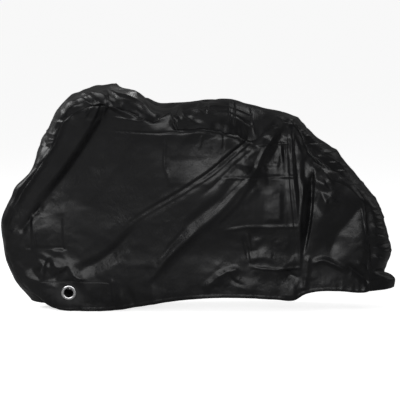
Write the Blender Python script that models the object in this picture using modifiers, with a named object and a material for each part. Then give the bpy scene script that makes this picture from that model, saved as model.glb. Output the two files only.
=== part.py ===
"""A fitted bicycle cover, as it hangs on a bicycle that is left out.

The front wheel is at -X, the rear wheel at +X, the left side at -Y, and the
hem's lowest point at Z = 0. Two side panels are sewn to one centre gusset that
runs from the front hem over the handlebar and the saddle to the rear hem. A
doubled patch at each side's front hem holds a metal eyelet for a lock.
All sizes are in metres.
"""
from collections import namedtuple
from math import radians

import bmesh
import bpy
import numpy as np
from mathutils import Matrix

# ---------------------------------------------------------------- sizes

CLOTH = 0.002            # thickness of every cloth solid
GAP = 0.0003             # space between pieces that touch
SEAM_ALLOW = 0.0002      # added to each side of a sewn seam's space
FLATTEST = -0.99         # least and greatest cosine of a seam's angle that are used
SHARPEST = 0.5

COLUMNS = ((0.00, 0), (0.26, 10), (0.62, 8), (0.74, 4), (0.90, 9), (1.00, 3))
ROWS = ((0.00, 0), (0.18, 5), (1.00, 14))
GUSSET_STRIPS = 8        # quads across the gusset
ARCH_POWER = 1.8         # how square the gusset's arch is: 2 is a parabola
STILL_ENDS = 0.05        # share of a panel's length at each end where folds fade out
STILL_TOP = 0.06         # share of its height at the seam where they do
STILL_SEAM = 0.25        # share of the gusset's half width where its folds fade out
SHOULDER = 0.090         # how far the seam turns in, as a share of the half width there
SHOULDER_REACH = (0.030, 0.22)   # reach of that turn: a length, and a share of the half width

EYELET_X = -0.655        # centre of the eyelet
EYELET_Z = 0.093
EYELET_HALF = 0.122      # distance from the middle plane to the cloth there
HOLE_R = 0.0235          # clear hole through the eyelet
BARREL_R = 0.0250        # outside of its barrel
FLANGE_R = 0.0370        # outside of its flange
FLANGE_T = 0.0024
WASHER_R = 0.0335
WASHER_T = 0.0010
LIP_R = 0.0272           # rolled lip behind the washer
LIP_T = 0.0008
EDGE_ROUND = 0.4         # the flange's bevel, as a share of its thickness
RING_STEPS = 24
RING_MERGE = 0.00005
FLAT_R = 0.105           # the cloth is flat this far round the eyelet
FADE_R = 0.158           # and follows the panel again from here

PATCH_LOW = (-0.800, -0.030)     # corners of the patch in x and z
PATCH_HIGH = (-0.450, 0.150)
PATCH_CORNER = 0.018
CORNER_STEPS = 3
CUTTER_DEPTH = 0.20      # long enough to pass through a panel
HOLE_DEPTH = 0.05

# The seam between panel and gusset: x, half width and height of the seam, then
# x and height of the gusset's middle line at the same station.
Station = namedtuple("Station", "x half z crown_x crown_z")

FRONT = (
    Station(-0.783, 0.080, 0.028, -0.855, 0.036),    # front hem
    Station(-0.909, 0.090, 0.146, -0.937, 0.140),
    Station(-0.977, 0.090, 0.325, -0.995, 0.325),    # wheel axle
    Station(-0.975, 0.100, 0.418, -1.000, 0.412),
    Station(-0.904, 0.120, 0.589, -0.932, 0.580),
    Station(-0.806, 0.160, 0.743, -0.835, 0.722),    # top of the wheel
    Station(-0.737, 0.200, 0.856, -0.795, 0.850),
    Station(-0.682, 0.250, 0.985, -0.728, 0.978),    # brake cables
    Station(-0.611, 0.290, 1.049, -0.680, 1.045),
    Station(-0.485, 0.320, 1.097, -0.560, 1.103),    # handlebar grip
)
TOP = (
    FRONT[-1],
    Station(-0.374, 0.310, 1.065, -0.390, 1.100),
    Station(-0.294, 0.300, 1.034, -0.310, 1.086),
    Station(-0.197, 0.290, 0.990, -0.200, 1.027),
    Station(-0.116, 0.285, 0.967, -0.116, 1.029),
    Station(0.056, 0.265, 0.960, 0.056, 1.052),      # nose of the saddle
    Station(0.182, 0.225, 0.923, 0.182, 1.051),
    Station(0.258, 0.195, 0.886, 0.258, 1.031),
    Station(0.318, 0.160, 0.932, 0.318, 1.016),
    Station(0.450, 0.110, 0.976, 0.455, 0.980),      # back of the saddle
)
REAR = (
    Station(0.869, 0.130, 0.101, 1.000, 0.103),      # rear hem
    Station(0.870, 0.128, 0.212, 0.956, 0.192),
    Station(0.869, 0.135, 0.305, 0.975, 0.287),
    Station(0.854, 0.145, 0.435, 0.942, 0.414),
    Station(0.828, 0.150, 0.588, 0.880, 0.567),      # carrier's corner
    Station(0.712, 0.140, 0.704, 0.763, 0.705),
    Station(0.571, 0.125, 0.804, 0.682, 0.800),
    Station(0.510, 0.115, 0.925, 0.525, 0.930),
    TOP[-1],
)

# The hem of a side panel, front to rear.
HemPoint = namedtuple("HemPoint", "x half z")

HEM = (
    HemPoint(-0.783, 0.080, 0.028),
    HemPoint(-0.692, 0.110, 0.003),
    HemPoint(-0.591, 0.120, 0.000),
    HemPoint(-0.439, 0.130, 0.004),
    HemPoint(-0.313, 0.150, 0.025),
    HemPoint(-0.187, 0.170, 0.050),
    HemPoint(-0.045, 0.190, 0.071),
    HemPoint(0.066, 0.200, 0.080),
    HemPoint(0.258, 0.200, 0.080),
    HemPoint(0.384, 0.190, 0.071),
    HemPoint(0.480, 0.180, 0.067),
    HemPoint(0.530, 0.170, 0.094),
    HemPoint(0.586, 0.170, 0.107),
    HemPoint(0.700, 0.160, 0.108),
    HemPoint(0.823, 0.140, 0.097),
    HemPoint(0.869, 0.130, 0.101),
)

# Folds of a side panel: the line each runs along in x and z, how far it stands
# out (or in, below zero), how wide it is on the line's left and right as one
# walks along it, how soft its crest is, and the shares of its length over which
# it fades in and out.
Fold = namedtuple("Fold", "path height left right soft fade_in fade_out")

FOLDS = (
    # the long hollow from the handlebar grip to the front wheel
    Fold(((-0.432, 1.06), (-0.488, 0.95), (-0.562, 0.83), (-0.668, 0.68), (-0.743, 0.59), (-0.818, 0.49),
          (-0.892, 0.38)),
         -0.034, 0.150, 0.056, 0.12, 0.12, 0.40),
    # saddle to eyelet: a trough with a ridge below it
    Fold(((0.335, 0.943), (0.245, 0.879), (0.144, 0.797), (0.058, 0.727), (-0.026, 0.669), (-0.119, 0.607),
          (-0.211, 0.551), (-0.308, 0.487), (-0.426, 0.374)),
         -0.011, 0.046, 0.030, 0.16, 0.10, 0.40),
    Fold(((0.346, 0.93), (0.258, 0.868), (0.157, 0.784), (0.071, 0.712), (-0.015, 0.656), (-0.109, 0.595),
          (-0.202, 0.539), (-0.300, 0.475), (-0.420, 0.360)),
         0.008, 0.030, 0.050, 0.10, 0.10, 0.35),
    Fold(((-0.260, 0.475), (-0.350, 0.390), (-0.410, 0.325), (-0.505, 0.253), (-0.600, 0.200),
          (-0.640, 0.150)),
         -0.013, 0.060, 0.040, 0.20, 0.30, 0.35),
    # the second, broader ridge below it
    Fold(((0.240, 0.740), (0.167, 0.656), (0.111, 0.585), (0.033, 0.524), (-0.045, 0.457), (-0.130, 0.370)),
         -0.013, 0.050, 0.045, 0.20, 0.25, 0.35),
    Fold(((0.430, 0.950), (0.362, 0.875), (0.313, 0.796), (0.247, 0.697), (0.144, 0.580), (0.000, 0.442),
          (-0.157, 0.284), (-0.219, 0.202), (-0.310, 0.120)),
         0.015, 0.050, 0.100, 0.22, 0.12, 0.20),
    # the upright ridge under the back of the saddle
    Fold(((0.455, 0.950), (0.461, 0.800), (0.467, 0.684), (0.487, 0.493), (0.5035, 0.270), (0.505, 0.140)),
         0.012, 0.034, 0.026, 0.10, 0.12, 0.25),
    # the deep pleat behind it, with its steep side towards the rear
    Fold(((0.568, 0.760), (0.566, 0.660), (0.562, 0.540), (0.550, 0.430), (0.535, 0.350), (0.515, 0.275)),
         -0.032, 0.018, 0.056, 0.10, 0.22, 0.28),
    # the rear part: its upper rim, a hollow across it and a crease below
    Fold(((0.585, 0.762), (0.630, 0.700), (0.660, 0.640), (0.635, 0.550), (0.600, 0.470), (0.565, 0.400)),
         0.014, 0.070, 0.075, 0.06, 0.10, 0.35),
    Fold(((0.600, 0.745), (0.665, 0.672), (0.705, 0.655), (0.765, 0.618), (0.825, 0.572)),
         0.009, 0.035, 0.040, 0.05, 0.15, 0.10),
    Fold(((0.828, 0.560), (0.760, 0.475), (0.690, 0.390), (0.665, 0.320), (0.650, 0.250)),
         -0.024, 0.120, 0.105, 0.08, 0.12, 0.30),
    Fold(((0.735, 0.247), (0.790, 0.200), (0.860, 0.142)), -0.010, 0.026, 0.034, 0.08, 0.15, 0.10),
    Fold(((0.560, 0.245), (0.611, 0.266), (0.687, 0.238), (0.750, 0.205)),
         0.009, 0.030, 0.026, 0.08, 0.15, 0.30),
    # gathers at the hem
    Fold(((-0.40, 0.15), (-0.38, 0.00)), 0.008, 0.035, 0.035, 0.30, 0.60, 0.00),
    Fold(((-0.24, 0.20), (-0.22, 0.02)), 0.010, 0.040, 0.040, 0.30, 0.60, 0.00),
    Fold(((0.200, 0.250), (0.116, 0.205), (0.010, 0.120)), 0.010, 0.050, 0.030, 0.10, 0.15, 0.20),
)

# Broad swells of a side panel: centre, reach along x and z, and height.
Swell = namedtuple("Swell", "x z reach_x reach_z height")

SWELLS = (
    Swell(0.00, 0.60, 0.32, 0.21, 0.030),
    Swell(0.30, 0.16, 0.20, 0.12, 0.010),
    Swell(-0.62, 0.33, 0.22, 0.22, 0.008),
    Swell(0.36, 0.48, 0.14, 0.20, 0.008),
    Swell(0.71, 0.50, 0.10, 0.20, 0.010),
    Swell(-0.35, 0.70, 0.16, 0.20, -0.008),
)

# Folds of the gusset: station share along the loop, share across it, height,
# length along the loop, and width across it.
GussetFold = namedtuple("GussetFold", "along across height long wide")

GUSSET_FOLDS = (
    GussetFold(0.205, -0.10, 0.008, 0.018, 1.10),
    GussetFold(0.262, 0.05, -0.009, 0.020, 1.00),
    GussetFold(0.315, -0.15, 0.008, 0.018, 0.90),
    GussetFold(0.384, 0.00, 0.012, 0.016, 2.00),     # the ridge over the handlebar
    GussetFold(0.500, -0.72, 0.018, 0.014, 0.32),    # the small peak beside the top tube
    GussetFold(0.560, -0.10, -0.005, 0.022, 0.90),
    GussetFold(0.690, 0.10, 0.008, 0.016, 1.00),
    GussetFold(0.780, -0.05, -0.008, 0.020, 1.00),
    GussetFold(0.860, 0.10, 0.008, 0.014, 0.90),
    GussetFold(0.905, -0.20, -0.008, 0.014, 0.90),
)

SIDES = {"left": -1.0, "right": 1.0}
FAR_LEAN = 0.015         # how far the right side's folds sit behind the left's


# ---------------------------------------------------------------- curves

def clear_scene():
    """Remove every object that is already in the scene."""
    for thing in list(bpy.data.objects):
        bpy.data.objects.remove(thing, do_unlink=True)


def spline(table, places):
    """A smooth curve through the table's rows, at places from 0 to 1 of its length."""
    rows = np.array(table, dtype=float)
    steps = np.linalg.norm(np.diff(rows, axis=0), axis=1)
    knots = np.concatenate([[0.0], np.cumsum(steps)]) / steps.sum()
    slopes = np.diff(rows, axis=0) / np.diff(knots)[:, None]
    before, after = np.diff(knots)[:-1, None], np.diff(knots)[1:, None]
    middle = (slopes[:-1] * after + slopes[1:] * before) / (before + after)
    tangents = np.vstack([slopes[:1], middle, slopes[-1:]])
    index = np.clip(np.searchsorted(knots, places, side="right") - 1, 0, len(knots) - 2)
    span = np.diff(knots)[index][:, None]
    t = (places - knots[index])[:, None] / span
    return ((2 * t**3 - 3 * t**2 + 1) * rows[index] + (t**3 - 2 * t**2 + t) * span * tangents[index]
            + (3 * t**2 - 2 * t**3) * rows[index + 1] + (t**3 - t**2) * span * tangents[index + 1])


def graded(breaks):
    """Shares from 0 to 1 with the asked number of steps up to each break."""
    parts = [np.array([0.0])]
    for (start, _), (end, steps) in zip(breaks[:-1], breaks[1:]):
        parts.append(np.linspace(start, end, steps + 1)[1:])
    return np.concatenate(parts)


def rise(value):
    """A smooth rise from 0 at 0 to 1 at 1."""
    v = np.clip(value, 0.0, 1.0)
    return v * v * (3.0 - 2.0 * v)


# ---------------------------------------------------------------- surfaces

def fold_push(x, z, fold):
    """How far one fold pushes the cloth out at each place (x, z)."""
    path = np.array(fold.path)
    steps = np.linalg.norm(np.diff(path, axis=0), axis=1)
    start_at = np.concatenate([[0.0], np.cumsum(steps)])
    nearest = np.full(x.shape, np.inf)
    along = np.zeros(x.shape)
    side = np.zeros(x.shape)
    for i, length in enumerate(steps):
        (ax, az), (bx, bz) = path[i], path[i + 1]
        ux, uz = (bx - ax) / length, (bz - az) / length
        run = np.clip((x - ax) * ux + (z - az) * uz, 0.0, length)
        distance = np.hypot(x - ax - run * ux, z - az - run * uz)
        closer = distance < nearest
        nearest = np.where(closer, distance, nearest)
        along = np.where(closer, (start_at[i] + run) / start_at[-1], along)
        side = np.where(closer, ux * (z - az) - uz * (x - ax), side)
    q = nearest / np.where(side > 0, fold.left, fold.right)
    blunt = (np.sqrt(q * q + fold.soft**2) - fold.soft) / (np.sqrt(1 + fold.soft**2) - fold.soft)
    profile = np.clip(1.0 - blunt, 0.0, None) ** 1.5
    grow = rise(along / fold.fade_in) if fold.fade_in else 1.0
    fade = rise((1.0 - along) / fold.fade_out) if fold.fade_out else 1.0
    return fold.height * profile * grow * fade


def swell_push(x, z, swell):
    """How far one swell pushes the cloth out at each place (x, z)."""
    across = (x - swell.x) / swell.reach_x
    up = (z - swell.z) / swell.reach_z
    return swell.height * np.exp(-across * across - up * up)


def seam_loop():
    """The stations from the front hem over the top to the rear hem, and how each turns in.

    The seam turns in towards the middle plane and down square to its own run,
    and not at all at the two hems.
    """
    s, t = graded(COLUMNS), graded(ROWS)
    loop = np.vstack([spline(FRONT, t), spline(TOP, s)[1:], spline(REAR, t)[::-1][1:]])
    run = np.gradient(loop[:, :3], axis=0)
    out = unit(np.stack([-run[:, 2], np.zeros(len(run)), run[:, 0]], axis=-1))
    ends = np.concatenate([rise(t / STILL_TOP), np.ones(len(s) - 2), rise(t / STILL_TOP)[::-1]])
    turn = -(out + np.array([0.0, 1.0, 0.0])) * SHOULDER * loop[:, 1:2] * ends[:, None]
    return loop, turn


def panel_points(side):
    """The middle surface of one side panel, as rows of points from hem to top seam.

    A patch between the four edge curves, turned in near the seam, pushed out
    and in by the folds and swells, and flat round the eyelet.
    """
    s, t = graded(COLUMNS), graded(ROWS)
    hem = spline(HEM, s)
    loop, turn = seam_loop()
    pick = (slice(None, len(t)), slice(len(t) - 1, len(t) + len(s) - 1), slice(-1, -len(t) - 1, -1))
    (front, front_in), (top, top_in), (rear, rear_in) = ((loop[part, :3], turn[part]) for part in pick)
    u, v = s[None, :, None], t[:, None, None]
    ruled = (1 - v) * hem[None] + v * top[None] + (1 - u) * front[:, None] + u * rear[:, None]
    corners = ((1 - u) * (1 - v) * front[0] + u * (1 - v) * rear[0]
               + (1 - u) * v * front[-1] + u * v * rear[-1])
    grid = ruled - corners
    total, weight = np.zeros(grid.shape), np.zeros(grid.shape[:2])
    edges = ((front[:, None], front_in[:, None]), (top[None], top_in[None]),
             (rear[:, None], rear_in[:, None]))
    for edge, inward in edges:
        reach = SHOULDER_REACH[0] + SHOULDER_REACH[1] * edge[..., 1]
        share = np.clip(1.0 - np.linalg.norm(grid - edge, axis=-1) / reach, 0.0, None) ** 2
        total += share[..., None] * inward
        weight += share
    grid += total / np.maximum(weight, 1.0)[..., None]
    x, half, z = grid[..., 0], grid[..., 1], grid[..., 2]
    lean = FAR_LEAN if side > 0 else 0.0
    push = sum(fold_push(x - lean, z, fold) for fold in FOLDS)
    push = push + sum(swell_push(x - lean, z, swell) for swell in SWELLS)
    ends = rise(s / STILL_ENDS) * rise((1 - s) / STILL_ENDS)
    half = half + push * ends[None] * rise((1 - t) / STILL_TOP)[:, None]
    reach = np.hypot(x - EYELET_X, z - EYELET_Z)
    flat = 1.0 - rise((reach - FLAT_R) / (FADE_R - FLAT_R))
    half = half + (EYELET_HALF - half) * flat
    return np.stack([x, side * half, z], axis=-1)


def gusset_points(panels):
    """The middle surface of the gusset, as strips of points from left seam to right seam.

    Each station's left seam point, middle point and right seam point are
    joined by an arch whose ends turn in with the panels' edges, and the short
    folds stand up from it.
    """
    loop, _ = seam_loop()
    across = np.linspace(-1.0, 1.0, GUSSET_STRIPS + 1)
    arch = 1.0 - np.abs(across) ** ARCH_POWER
    seam_x, half, seam_z, crown_x, crown_z = loop.T
    x = seam_x + arch[:, None] * (crown_x - seam_x)
    y = across[:, None] * half
    z = seam_z + arch[:, None] * (crown_z - seam_z)
    points = np.stack([x, y, z], axis=-1)
    away = (1.0 - np.abs(across))[:, None] * half
    share = np.clip(1.0 - away / (SHOULDER_REACH[0] + SHOULDER_REACH[1] * half), 0.0, None) ** 2
    for name, side in SIDES.items():
        net = panels[name]
        sewn = np.vstack([net[:, 0], net[-1, 1:], net[::-1, -1][1:]])
        plain = np.stack([seam_x, side * half, seam_z], axis=-1)
        near = (np.sign(across) == side)[:, None] * share
        points += near[..., None] * (sewn - plain)
    run = np.linalg.norm(np.diff(points[GUSSET_STRIPS // 2], axis=0), axis=1)
    along = np.concatenate([[0.0], np.cumsum(run)]) / run.sum()
    push = np.zeros(x.shape)
    for fold in GUSSET_FOLDS:
        bump = np.exp(-((along - fold.along) / fold.long) ** 2)[None]
        push += fold.height * bump * np.exp(-((across - fold.across) / fold.wide) ** 2)[:, None]
    push *= rise((1 - np.abs(across)) / STILL_SEAM)[:, None]
    outward = np.cross(np.gradient(points, axis=0), np.gradient(points, axis=1))
    outward /= np.linalg.norm(outward, axis=-1, keepdims=True)
    return points + push[..., None] * outward


def seam_space(first_in, second_in):
    """How far each cloth keeps from the seam line so that their edges clear.

    Two sheets that meet at the angle between their inward directions touch at
    their inner corners, and the space is worked out from that angle.
    """
    cosine = np.clip(np.sum(first_in * second_in, axis=-1), FLATTEST, SHARPEST)
    half_angle = np.arccos(cosine) / 2.0
    return (CLOTH / 2 * np.cos(half_angle) + GAP / 2 + SEAM_ALLOW) / np.sin(half_angle)


def part_seams(panels, gusset):
    """Draw the panels and the gusset back from their shared seam lines."""
    rows, columns = len(graded(ROWS)), len(graded(COLUMNS))
    for side, panel in panels.items():
        edge, inner = (0, 1) if SIDES[side] < 0 else (-1, -2)
        seam = gusset[edge].copy()
        tangent = unit(np.gradient(seam, axis=0))
        gusset_in = square_to(gusset[inner] - seam, tangent)
        panel_in = np.concatenate([
            panel[:-1, 1] - panel[:-1, 0],
            panel[-2] - panel[-1],
            (panel[:-1, -2] - panel[:-1, -1])[::-1],
        ])
        panel_in[rows - 1] = panel[-2, 1] - panel[-1, 0]
        panel_in[rows + columns - 2] = panel[-2, -2] - panel[-1, -1]
        panel_in = square_to(panel_in, tangent)
        space = seam_space(panel_in, gusset_in)[:, None]
        gusset[edge] = seam + space * gusset_in
        moved = space * panel_in
        panel[:-1, 0] += moved[:rows - 1]
        panel[-1] += moved[rows - 1:rows + columns - 1]
        panel[:-1, -1] += moved[rows + columns - 1:][::-1]


def unit(vectors):
    """The vectors at length 1."""
    return vectors / np.linalg.norm(vectors, axis=-1, keepdims=True)


def square_to(vectors, tangents):
    """The part of each vector that is square to its tangent, at length 1."""
    return unit(vectors - np.sum(vectors * tangents, axis=-1, keepdims=True) * tangents)


# ---------------------------------------------------------------- objects

def material(name, colour, roughness, metallic):
    """A Principled material in one colour."""
    made = bpy.data.materials.new(name)
    made.use_nodes = True
    shader = made.node_tree.nodes["Principled BSDF"]
    shader.inputs["Base Color"].default_value = (*colour, 1.0)
    shader.inputs["Roughness"].default_value = roughness
    shader.inputs["Metallic"].default_value = metallic
    return made


def sheet(name, points, finish, parts, flip):
    """A cloth sheet: a grid primitive laid on the points and given its thickness.

    The rows run from left to right as one faces the outside, unless flip is set.
    """
    rows, columns = points.shape[:2]
    cage = bmesh.new()
    bmesh.ops.create_grid(cage, x_segments=columns - 1, y_segments=rows - 1, size=0.5)
    mesh = bpy.data.meshes.new(name)
    cage.to_mesh(mesh)
    cage.free()
    flat = np.empty(len(mesh.vertices) * 3)
    mesh.vertices.foreach_get("co", flat)
    place = np.rint((flat.reshape(-1, 3)[:, :2] + 0.5) * (columns - 1, rows - 1)).astype(int)
    mesh.vertices.foreach_set("co", points[place[:, 1], place[:, 0]].ravel())
    if flip:
        mesh.flip_normals()
    mesh.shade_smooth()
    mesh.materials.append(finish)
    thing = bpy.data.objects.new(name, mesh)
    parts.objects.link(thing)
    solid = thing.modifiers.new("Thickness", "SOLIDIFY")
    solid.thickness = CLOTH
    solid.offset = 0.0
    solid.use_even_offset = True
    return thing


def cut(thing, cutter, operation):
    """Cut a piece with a cutter."""
    step = thing.modifiers.new(operation.title(), "BOOLEAN")
    step.operation = operation
    step.solver = "EXACT"
    step.object = cutter


def patch_cutter(name, grow, side, cutters):
    """A plate with round corners that marks where the patch lies, grown by a little."""
    low = np.array(PATCH_LOW) - grow
    high = np.array(PATCH_HIGH) + grow
    middle, size = (low + high) / 2, high - low
    bpy.ops.mesh.primitive_cube_add(size=1.0)
    thing = bpy.context.object
    thing.name = name
    thing.data.transform(Matrix.Diagonal((size[0], CUTTER_DEPTH, size[1], 1.0)))
    thing.location = (middle[0], side * EYELET_HALF, middle[1])
    round_off = thing.modifiers.new("Corners", "BEVEL")
    round_off.width = PATCH_CORNER + grow
    round_off.segments = CORNER_STEPS
    round_off.limit_method = "WEIGHT"
    weights = thing.data.attributes.new("bevel_weight_edge", "FLOAT", "EDGE")
    for edge in thing.data.edges:
        a, b = (thing.data.vertices[i].co for i in edge.vertices)
        weights.data[edge.index].value = 1.0 if abs(a.y - b.y) > CUTTER_DEPTH / 2 else 0.0
    return as_cutter(thing, cutters)


def hole_cutter(side, cutters):
    """A cylinder through the patch for the eyelet's barrel."""
    bpy.ops.mesh.primitive_cylinder_add(vertices=RING_STEPS, radius=BARREL_R + GAP, depth=HOLE_DEPTH)
    thing = bpy.context.object
    thing.name = "hole_cutter"
    thing.location = (EYELET_X, side * EYELET_HALF, EYELET_Z)
    thing.rotation_euler = (radians(90), 0, 0)
    return as_cutter(thing, cutters)


def as_cutter(thing, cutters):
    """Move an object into the cutters' collection and hide it."""
    for old in list(thing.users_collection):
        old.objects.unlink(thing)
    cutters.objects.link(thing)
    thing.hide_render = True
    thing.display_type = "WIRE"
    return thing


def turned(name, profile, side, finish, parts):
    """A ring turned about the eyelet's axis from a closed profile of radius and height."""
    mesh = bpy.data.meshes.new(name)
    points = [(radius, 0.0, height) for radius, height in profile]
    edges = [(i, (i + 1) % len(points)) for i in range(len(points))]
    mesh.from_pydata(points, edges, [])
    mesh.materials.append(finish)
    thing = bpy.data.objects.new(name, mesh)
    parts.objects.link(thing)
    thing.location = (EYELET_X, side * EYELET_HALF, EYELET_Z)
    thing.rotation_euler = (radians(-90 * side), 0, 0)
    screw = thing.modifiers.new("Turn", "SCREW")
    screw.steps = RING_STEPS
    screw.render_steps = RING_STEPS
    screw.use_merge_vertices = True
    screw.merge_threshold = RING_MERGE
    screw.use_smooth_shade = True
    return thing


def eyelet(name, side, finish, parts):
    """The flange on the outer face of the cloth, the barrel through it and the lip behind."""
    seat = CLOTH / 2 + GAP
    top = seat + FLANGE_T
    back = -(seat + WASHER_T + GAP)
    edge = FLANGE_T * EDGE_ROUND
    profile = (
        (HOLE_R, top - edge),
        (HOLE_R + edge, top),
        (FLANGE_R - edge, top),
        (FLANGE_R, top - edge),
        (FLANGE_R, seat),
        (BARREL_R, seat),
        (BARREL_R, back),
        (LIP_R, back),
        (LIP_R, back - LIP_T),
        (HOLE_R, back - LIP_T),
    )
    return turned(name, profile, side, finish, parts)


def washer(name, side, finish, parts):
    """The flat ring behind the cloth."""
    front = -(CLOTH / 2 + GAP)
    inner = BARREL_R + GAP
    profile = (
        (inner, front),
        (WASHER_R, front),
        (WASHER_R, front - WASHER_T),
        (inner, front - WASHER_T),
    )
    return turned(name, profile, side, finish, parts)


def main():
    """Build the cover."""
    clear_scene()
    scene = bpy.context.scene
    parts = bpy.data.collections.new("bicycle_cover")
    cutters = bpy.data.collections.new("cutters")
    scene.collection.children.link(parts)
    scene.collection.children.link(cutters)
    cloth = material("black coated cloth", (0.012, 0.012, 0.013), 0.45, 0.0)
    steel = material("bright nickel", (0.75, 0.75, 0.76), 0.25, 1.0)

    panels = {name: panel_points(side) for name, side in SIDES.items()}
    gusset = gusset_points(panels)
    part_seams(panels, gusset)
    sheet("centre_gusset", gusset, cloth, parts, flip=False)
    for name, side in SIDES.items():
        panel = sheet(f"{name}_panel", panels[name], cloth, parts, flip=side > 0)
        patch = sheet(f"{name}_patch", panels[name], cloth, parts, flip=side > 0)
        cut(panel, patch_cutter("notch_cutter", GAP / 2, side, cutters), "DIFFERENCE")
        cut(patch, patch_cutter("patch_cutter", -GAP / 2, side, cutters), "INTERSECT")
        cut(patch, hole_cutter(side, cutters), "DIFFERENCE")
        eyelet(f"{name}_eyelet", side, steel, parts)
        washer(f"{name}_washer", side, steel, parts)


main()
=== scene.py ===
"""The looks of a fitted bicycle cover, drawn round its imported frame.

The cover is black coated cloth in three cut pieces: a side panel on each side
and one gusset between them, with a doubled patch and a metal eyelet at each
side's front hem. The front wheel is at -X and the left side at -Y. Sizes are in
metres, in the frame of the CAD model.
"""

import logging
import math
from dataclasses import dataclass, field
from enum import Enum
from typing import NamedTuple

import bmesh
import bpy
import numpy as np
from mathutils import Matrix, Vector
from mathutils.geometry import delaunay_2d_cdt


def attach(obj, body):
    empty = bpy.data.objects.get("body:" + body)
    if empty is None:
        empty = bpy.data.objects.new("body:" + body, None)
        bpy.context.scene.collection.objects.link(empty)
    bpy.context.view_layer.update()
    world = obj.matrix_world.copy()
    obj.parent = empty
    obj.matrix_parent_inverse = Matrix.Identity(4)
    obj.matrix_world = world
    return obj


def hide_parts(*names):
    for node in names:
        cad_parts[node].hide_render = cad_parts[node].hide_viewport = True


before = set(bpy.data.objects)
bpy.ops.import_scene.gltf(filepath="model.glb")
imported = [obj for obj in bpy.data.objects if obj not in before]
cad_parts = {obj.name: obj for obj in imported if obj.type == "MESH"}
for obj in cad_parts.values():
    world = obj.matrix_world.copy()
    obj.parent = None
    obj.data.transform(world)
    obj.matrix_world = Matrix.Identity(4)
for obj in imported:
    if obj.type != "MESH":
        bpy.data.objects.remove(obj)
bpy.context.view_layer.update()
LOG = logging.getLogger("bicycle_cover")

Array = np.ndarray
Piece = bpy.types.Object
Material = bpy.types.Material
Tree = bpy.types.NodeTree


class Side(Enum):
    """The two sides of the cover, as the sign of Y."""

    LEFT = -1.0
    RIGHT = 1.0

    @property
    def word(self) -> str:
        """The side's name as the nodes spell it."""
        return self.name.lower()


# ---------------------------------------------------------------- the cut


class Station(NamedTuple):
    """A place on the seam: the seam's x, half width and height, then the gusset's crown."""

    x: float
    half: float
    z: float
    crown_x: float
    crown_z: float


class HemPoint(NamedTuple):
    """A place on a side panel's hem."""

    x: float
    half: float
    z: float


FRONT = (
    Station(-0.783, 0.080, 0.028, -0.855, 0.036),    # front hem
    Station(-0.909, 0.090, 0.146, -0.937, 0.140),
    Station(-0.977, 0.090, 0.325, -0.995, 0.325),    # wheel axle
    Station(-0.975, 0.100, 0.418, -1.000, 0.412),
    Station(-0.904, 0.120, 0.589, -0.932, 0.580),
    Station(-0.806, 0.160, 0.743, -0.835, 0.722),    # top of the wheel
    Station(-0.737, 0.200, 0.856, -0.795, 0.850),
    Station(-0.682, 0.250, 0.985, -0.728, 0.978),    # brake cables
    Station(-0.611, 0.290, 1.049, -0.680, 1.045),
    Station(-0.485, 0.320, 1.097, -0.560, 1.103),    # handlebar grip
)
TOP = (
    FRONT[-1],
    Station(-0.374, 0.310, 1.065, -0.390, 1.100),
    Station(-0.294, 0.300, 1.034, -0.310, 1.086),
    Station(-0.197, 0.290, 0.990, -0.200, 1.026),
    Station(-0.116, 0.285, 0.967, -0.116, 1.028),
    Station(0.056, 0.265, 0.960, 0.056, 1.052),      # nose of the saddle
    Station(0.182, 0.225, 0.923, 0.182, 1.050),
    Station(0.258, 0.195, 0.886, 0.258, 1.031),
    Station(0.318, 0.160, 0.932, 0.318, 1.016),
    Station(0.450, 0.110, 0.976, 0.455, 0.980),      # back of the saddle
)
REAR = (
    Station(0.869, 0.130, 0.101, 0.996, 0.103),      # rear hem
    Station(0.869, 0.129, 0.138, 0.999, 0.142),
    Station(0.870, 0.128, 0.212, 0.958, 0.194),
    Station(0.869, 0.135, 0.305, 0.980, 0.287),
    Station(0.854, 0.145, 0.435, 0.944, 0.414),
    Station(0.828, 0.150, 0.588, 0.882, 0.568),      # carrier's corner
    Station(0.712, 0.140, 0.704, 0.763, 0.705),
    Station(0.571, 0.125, 0.804, 0.682, 0.800),
    Station(0.510, 0.115, 0.925, 0.525, 0.930),
    TOP[-1],
)
HEM = (
    HemPoint(-0.783, 0.080, 0.028),
    HemPoint(-0.692, 0.110, 0.003),
    HemPoint(-0.591, 0.120, 0.000),
    HemPoint(-0.439, 0.130, 0.004),
    HemPoint(-0.313, 0.150, 0.025),
    HemPoint(-0.187, 0.170, 0.050),
    HemPoint(-0.045, 0.190, 0.071),
    HemPoint(0.066, 0.200, 0.080),
    HemPoint(0.258, 0.200, 0.080),
    HemPoint(0.384, 0.190, 0.071),
    HemPoint(0.480, 0.180, 0.067),
    HemPoint(0.530, 0.170, 0.094),
    HemPoint(0.586, 0.170, 0.107),
    HemPoint(0.700, 0.160, 0.108),
    HemPoint(0.823, 0.140, 0.097),
    HemPoint(0.869, 0.130, 0.101),
)


class Wander(NamedTuple):
    """One wave of the seam's unevenness: waves along an edge, phase, and reach each way."""

    waves: float
    phase: float
    along_x: float
    out: float
    up: float


WANDERS = (
    Wander(3.0, 0.7, 0.0020, 0.0030, 0.0024),
    Wander(7.0, 2.1, 0.0016, 0.0022, 0.0020),
    Wander(13.0, 4.0, 0.0010, 0.0014, 0.0012),
)
WANDER_FADE = 0.06     # the share of an edge over which the waves fade at each end
SWAY_PACE = 1.7        # how much quicker the cosine goes than the sine
TINY = 1e-12


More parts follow.
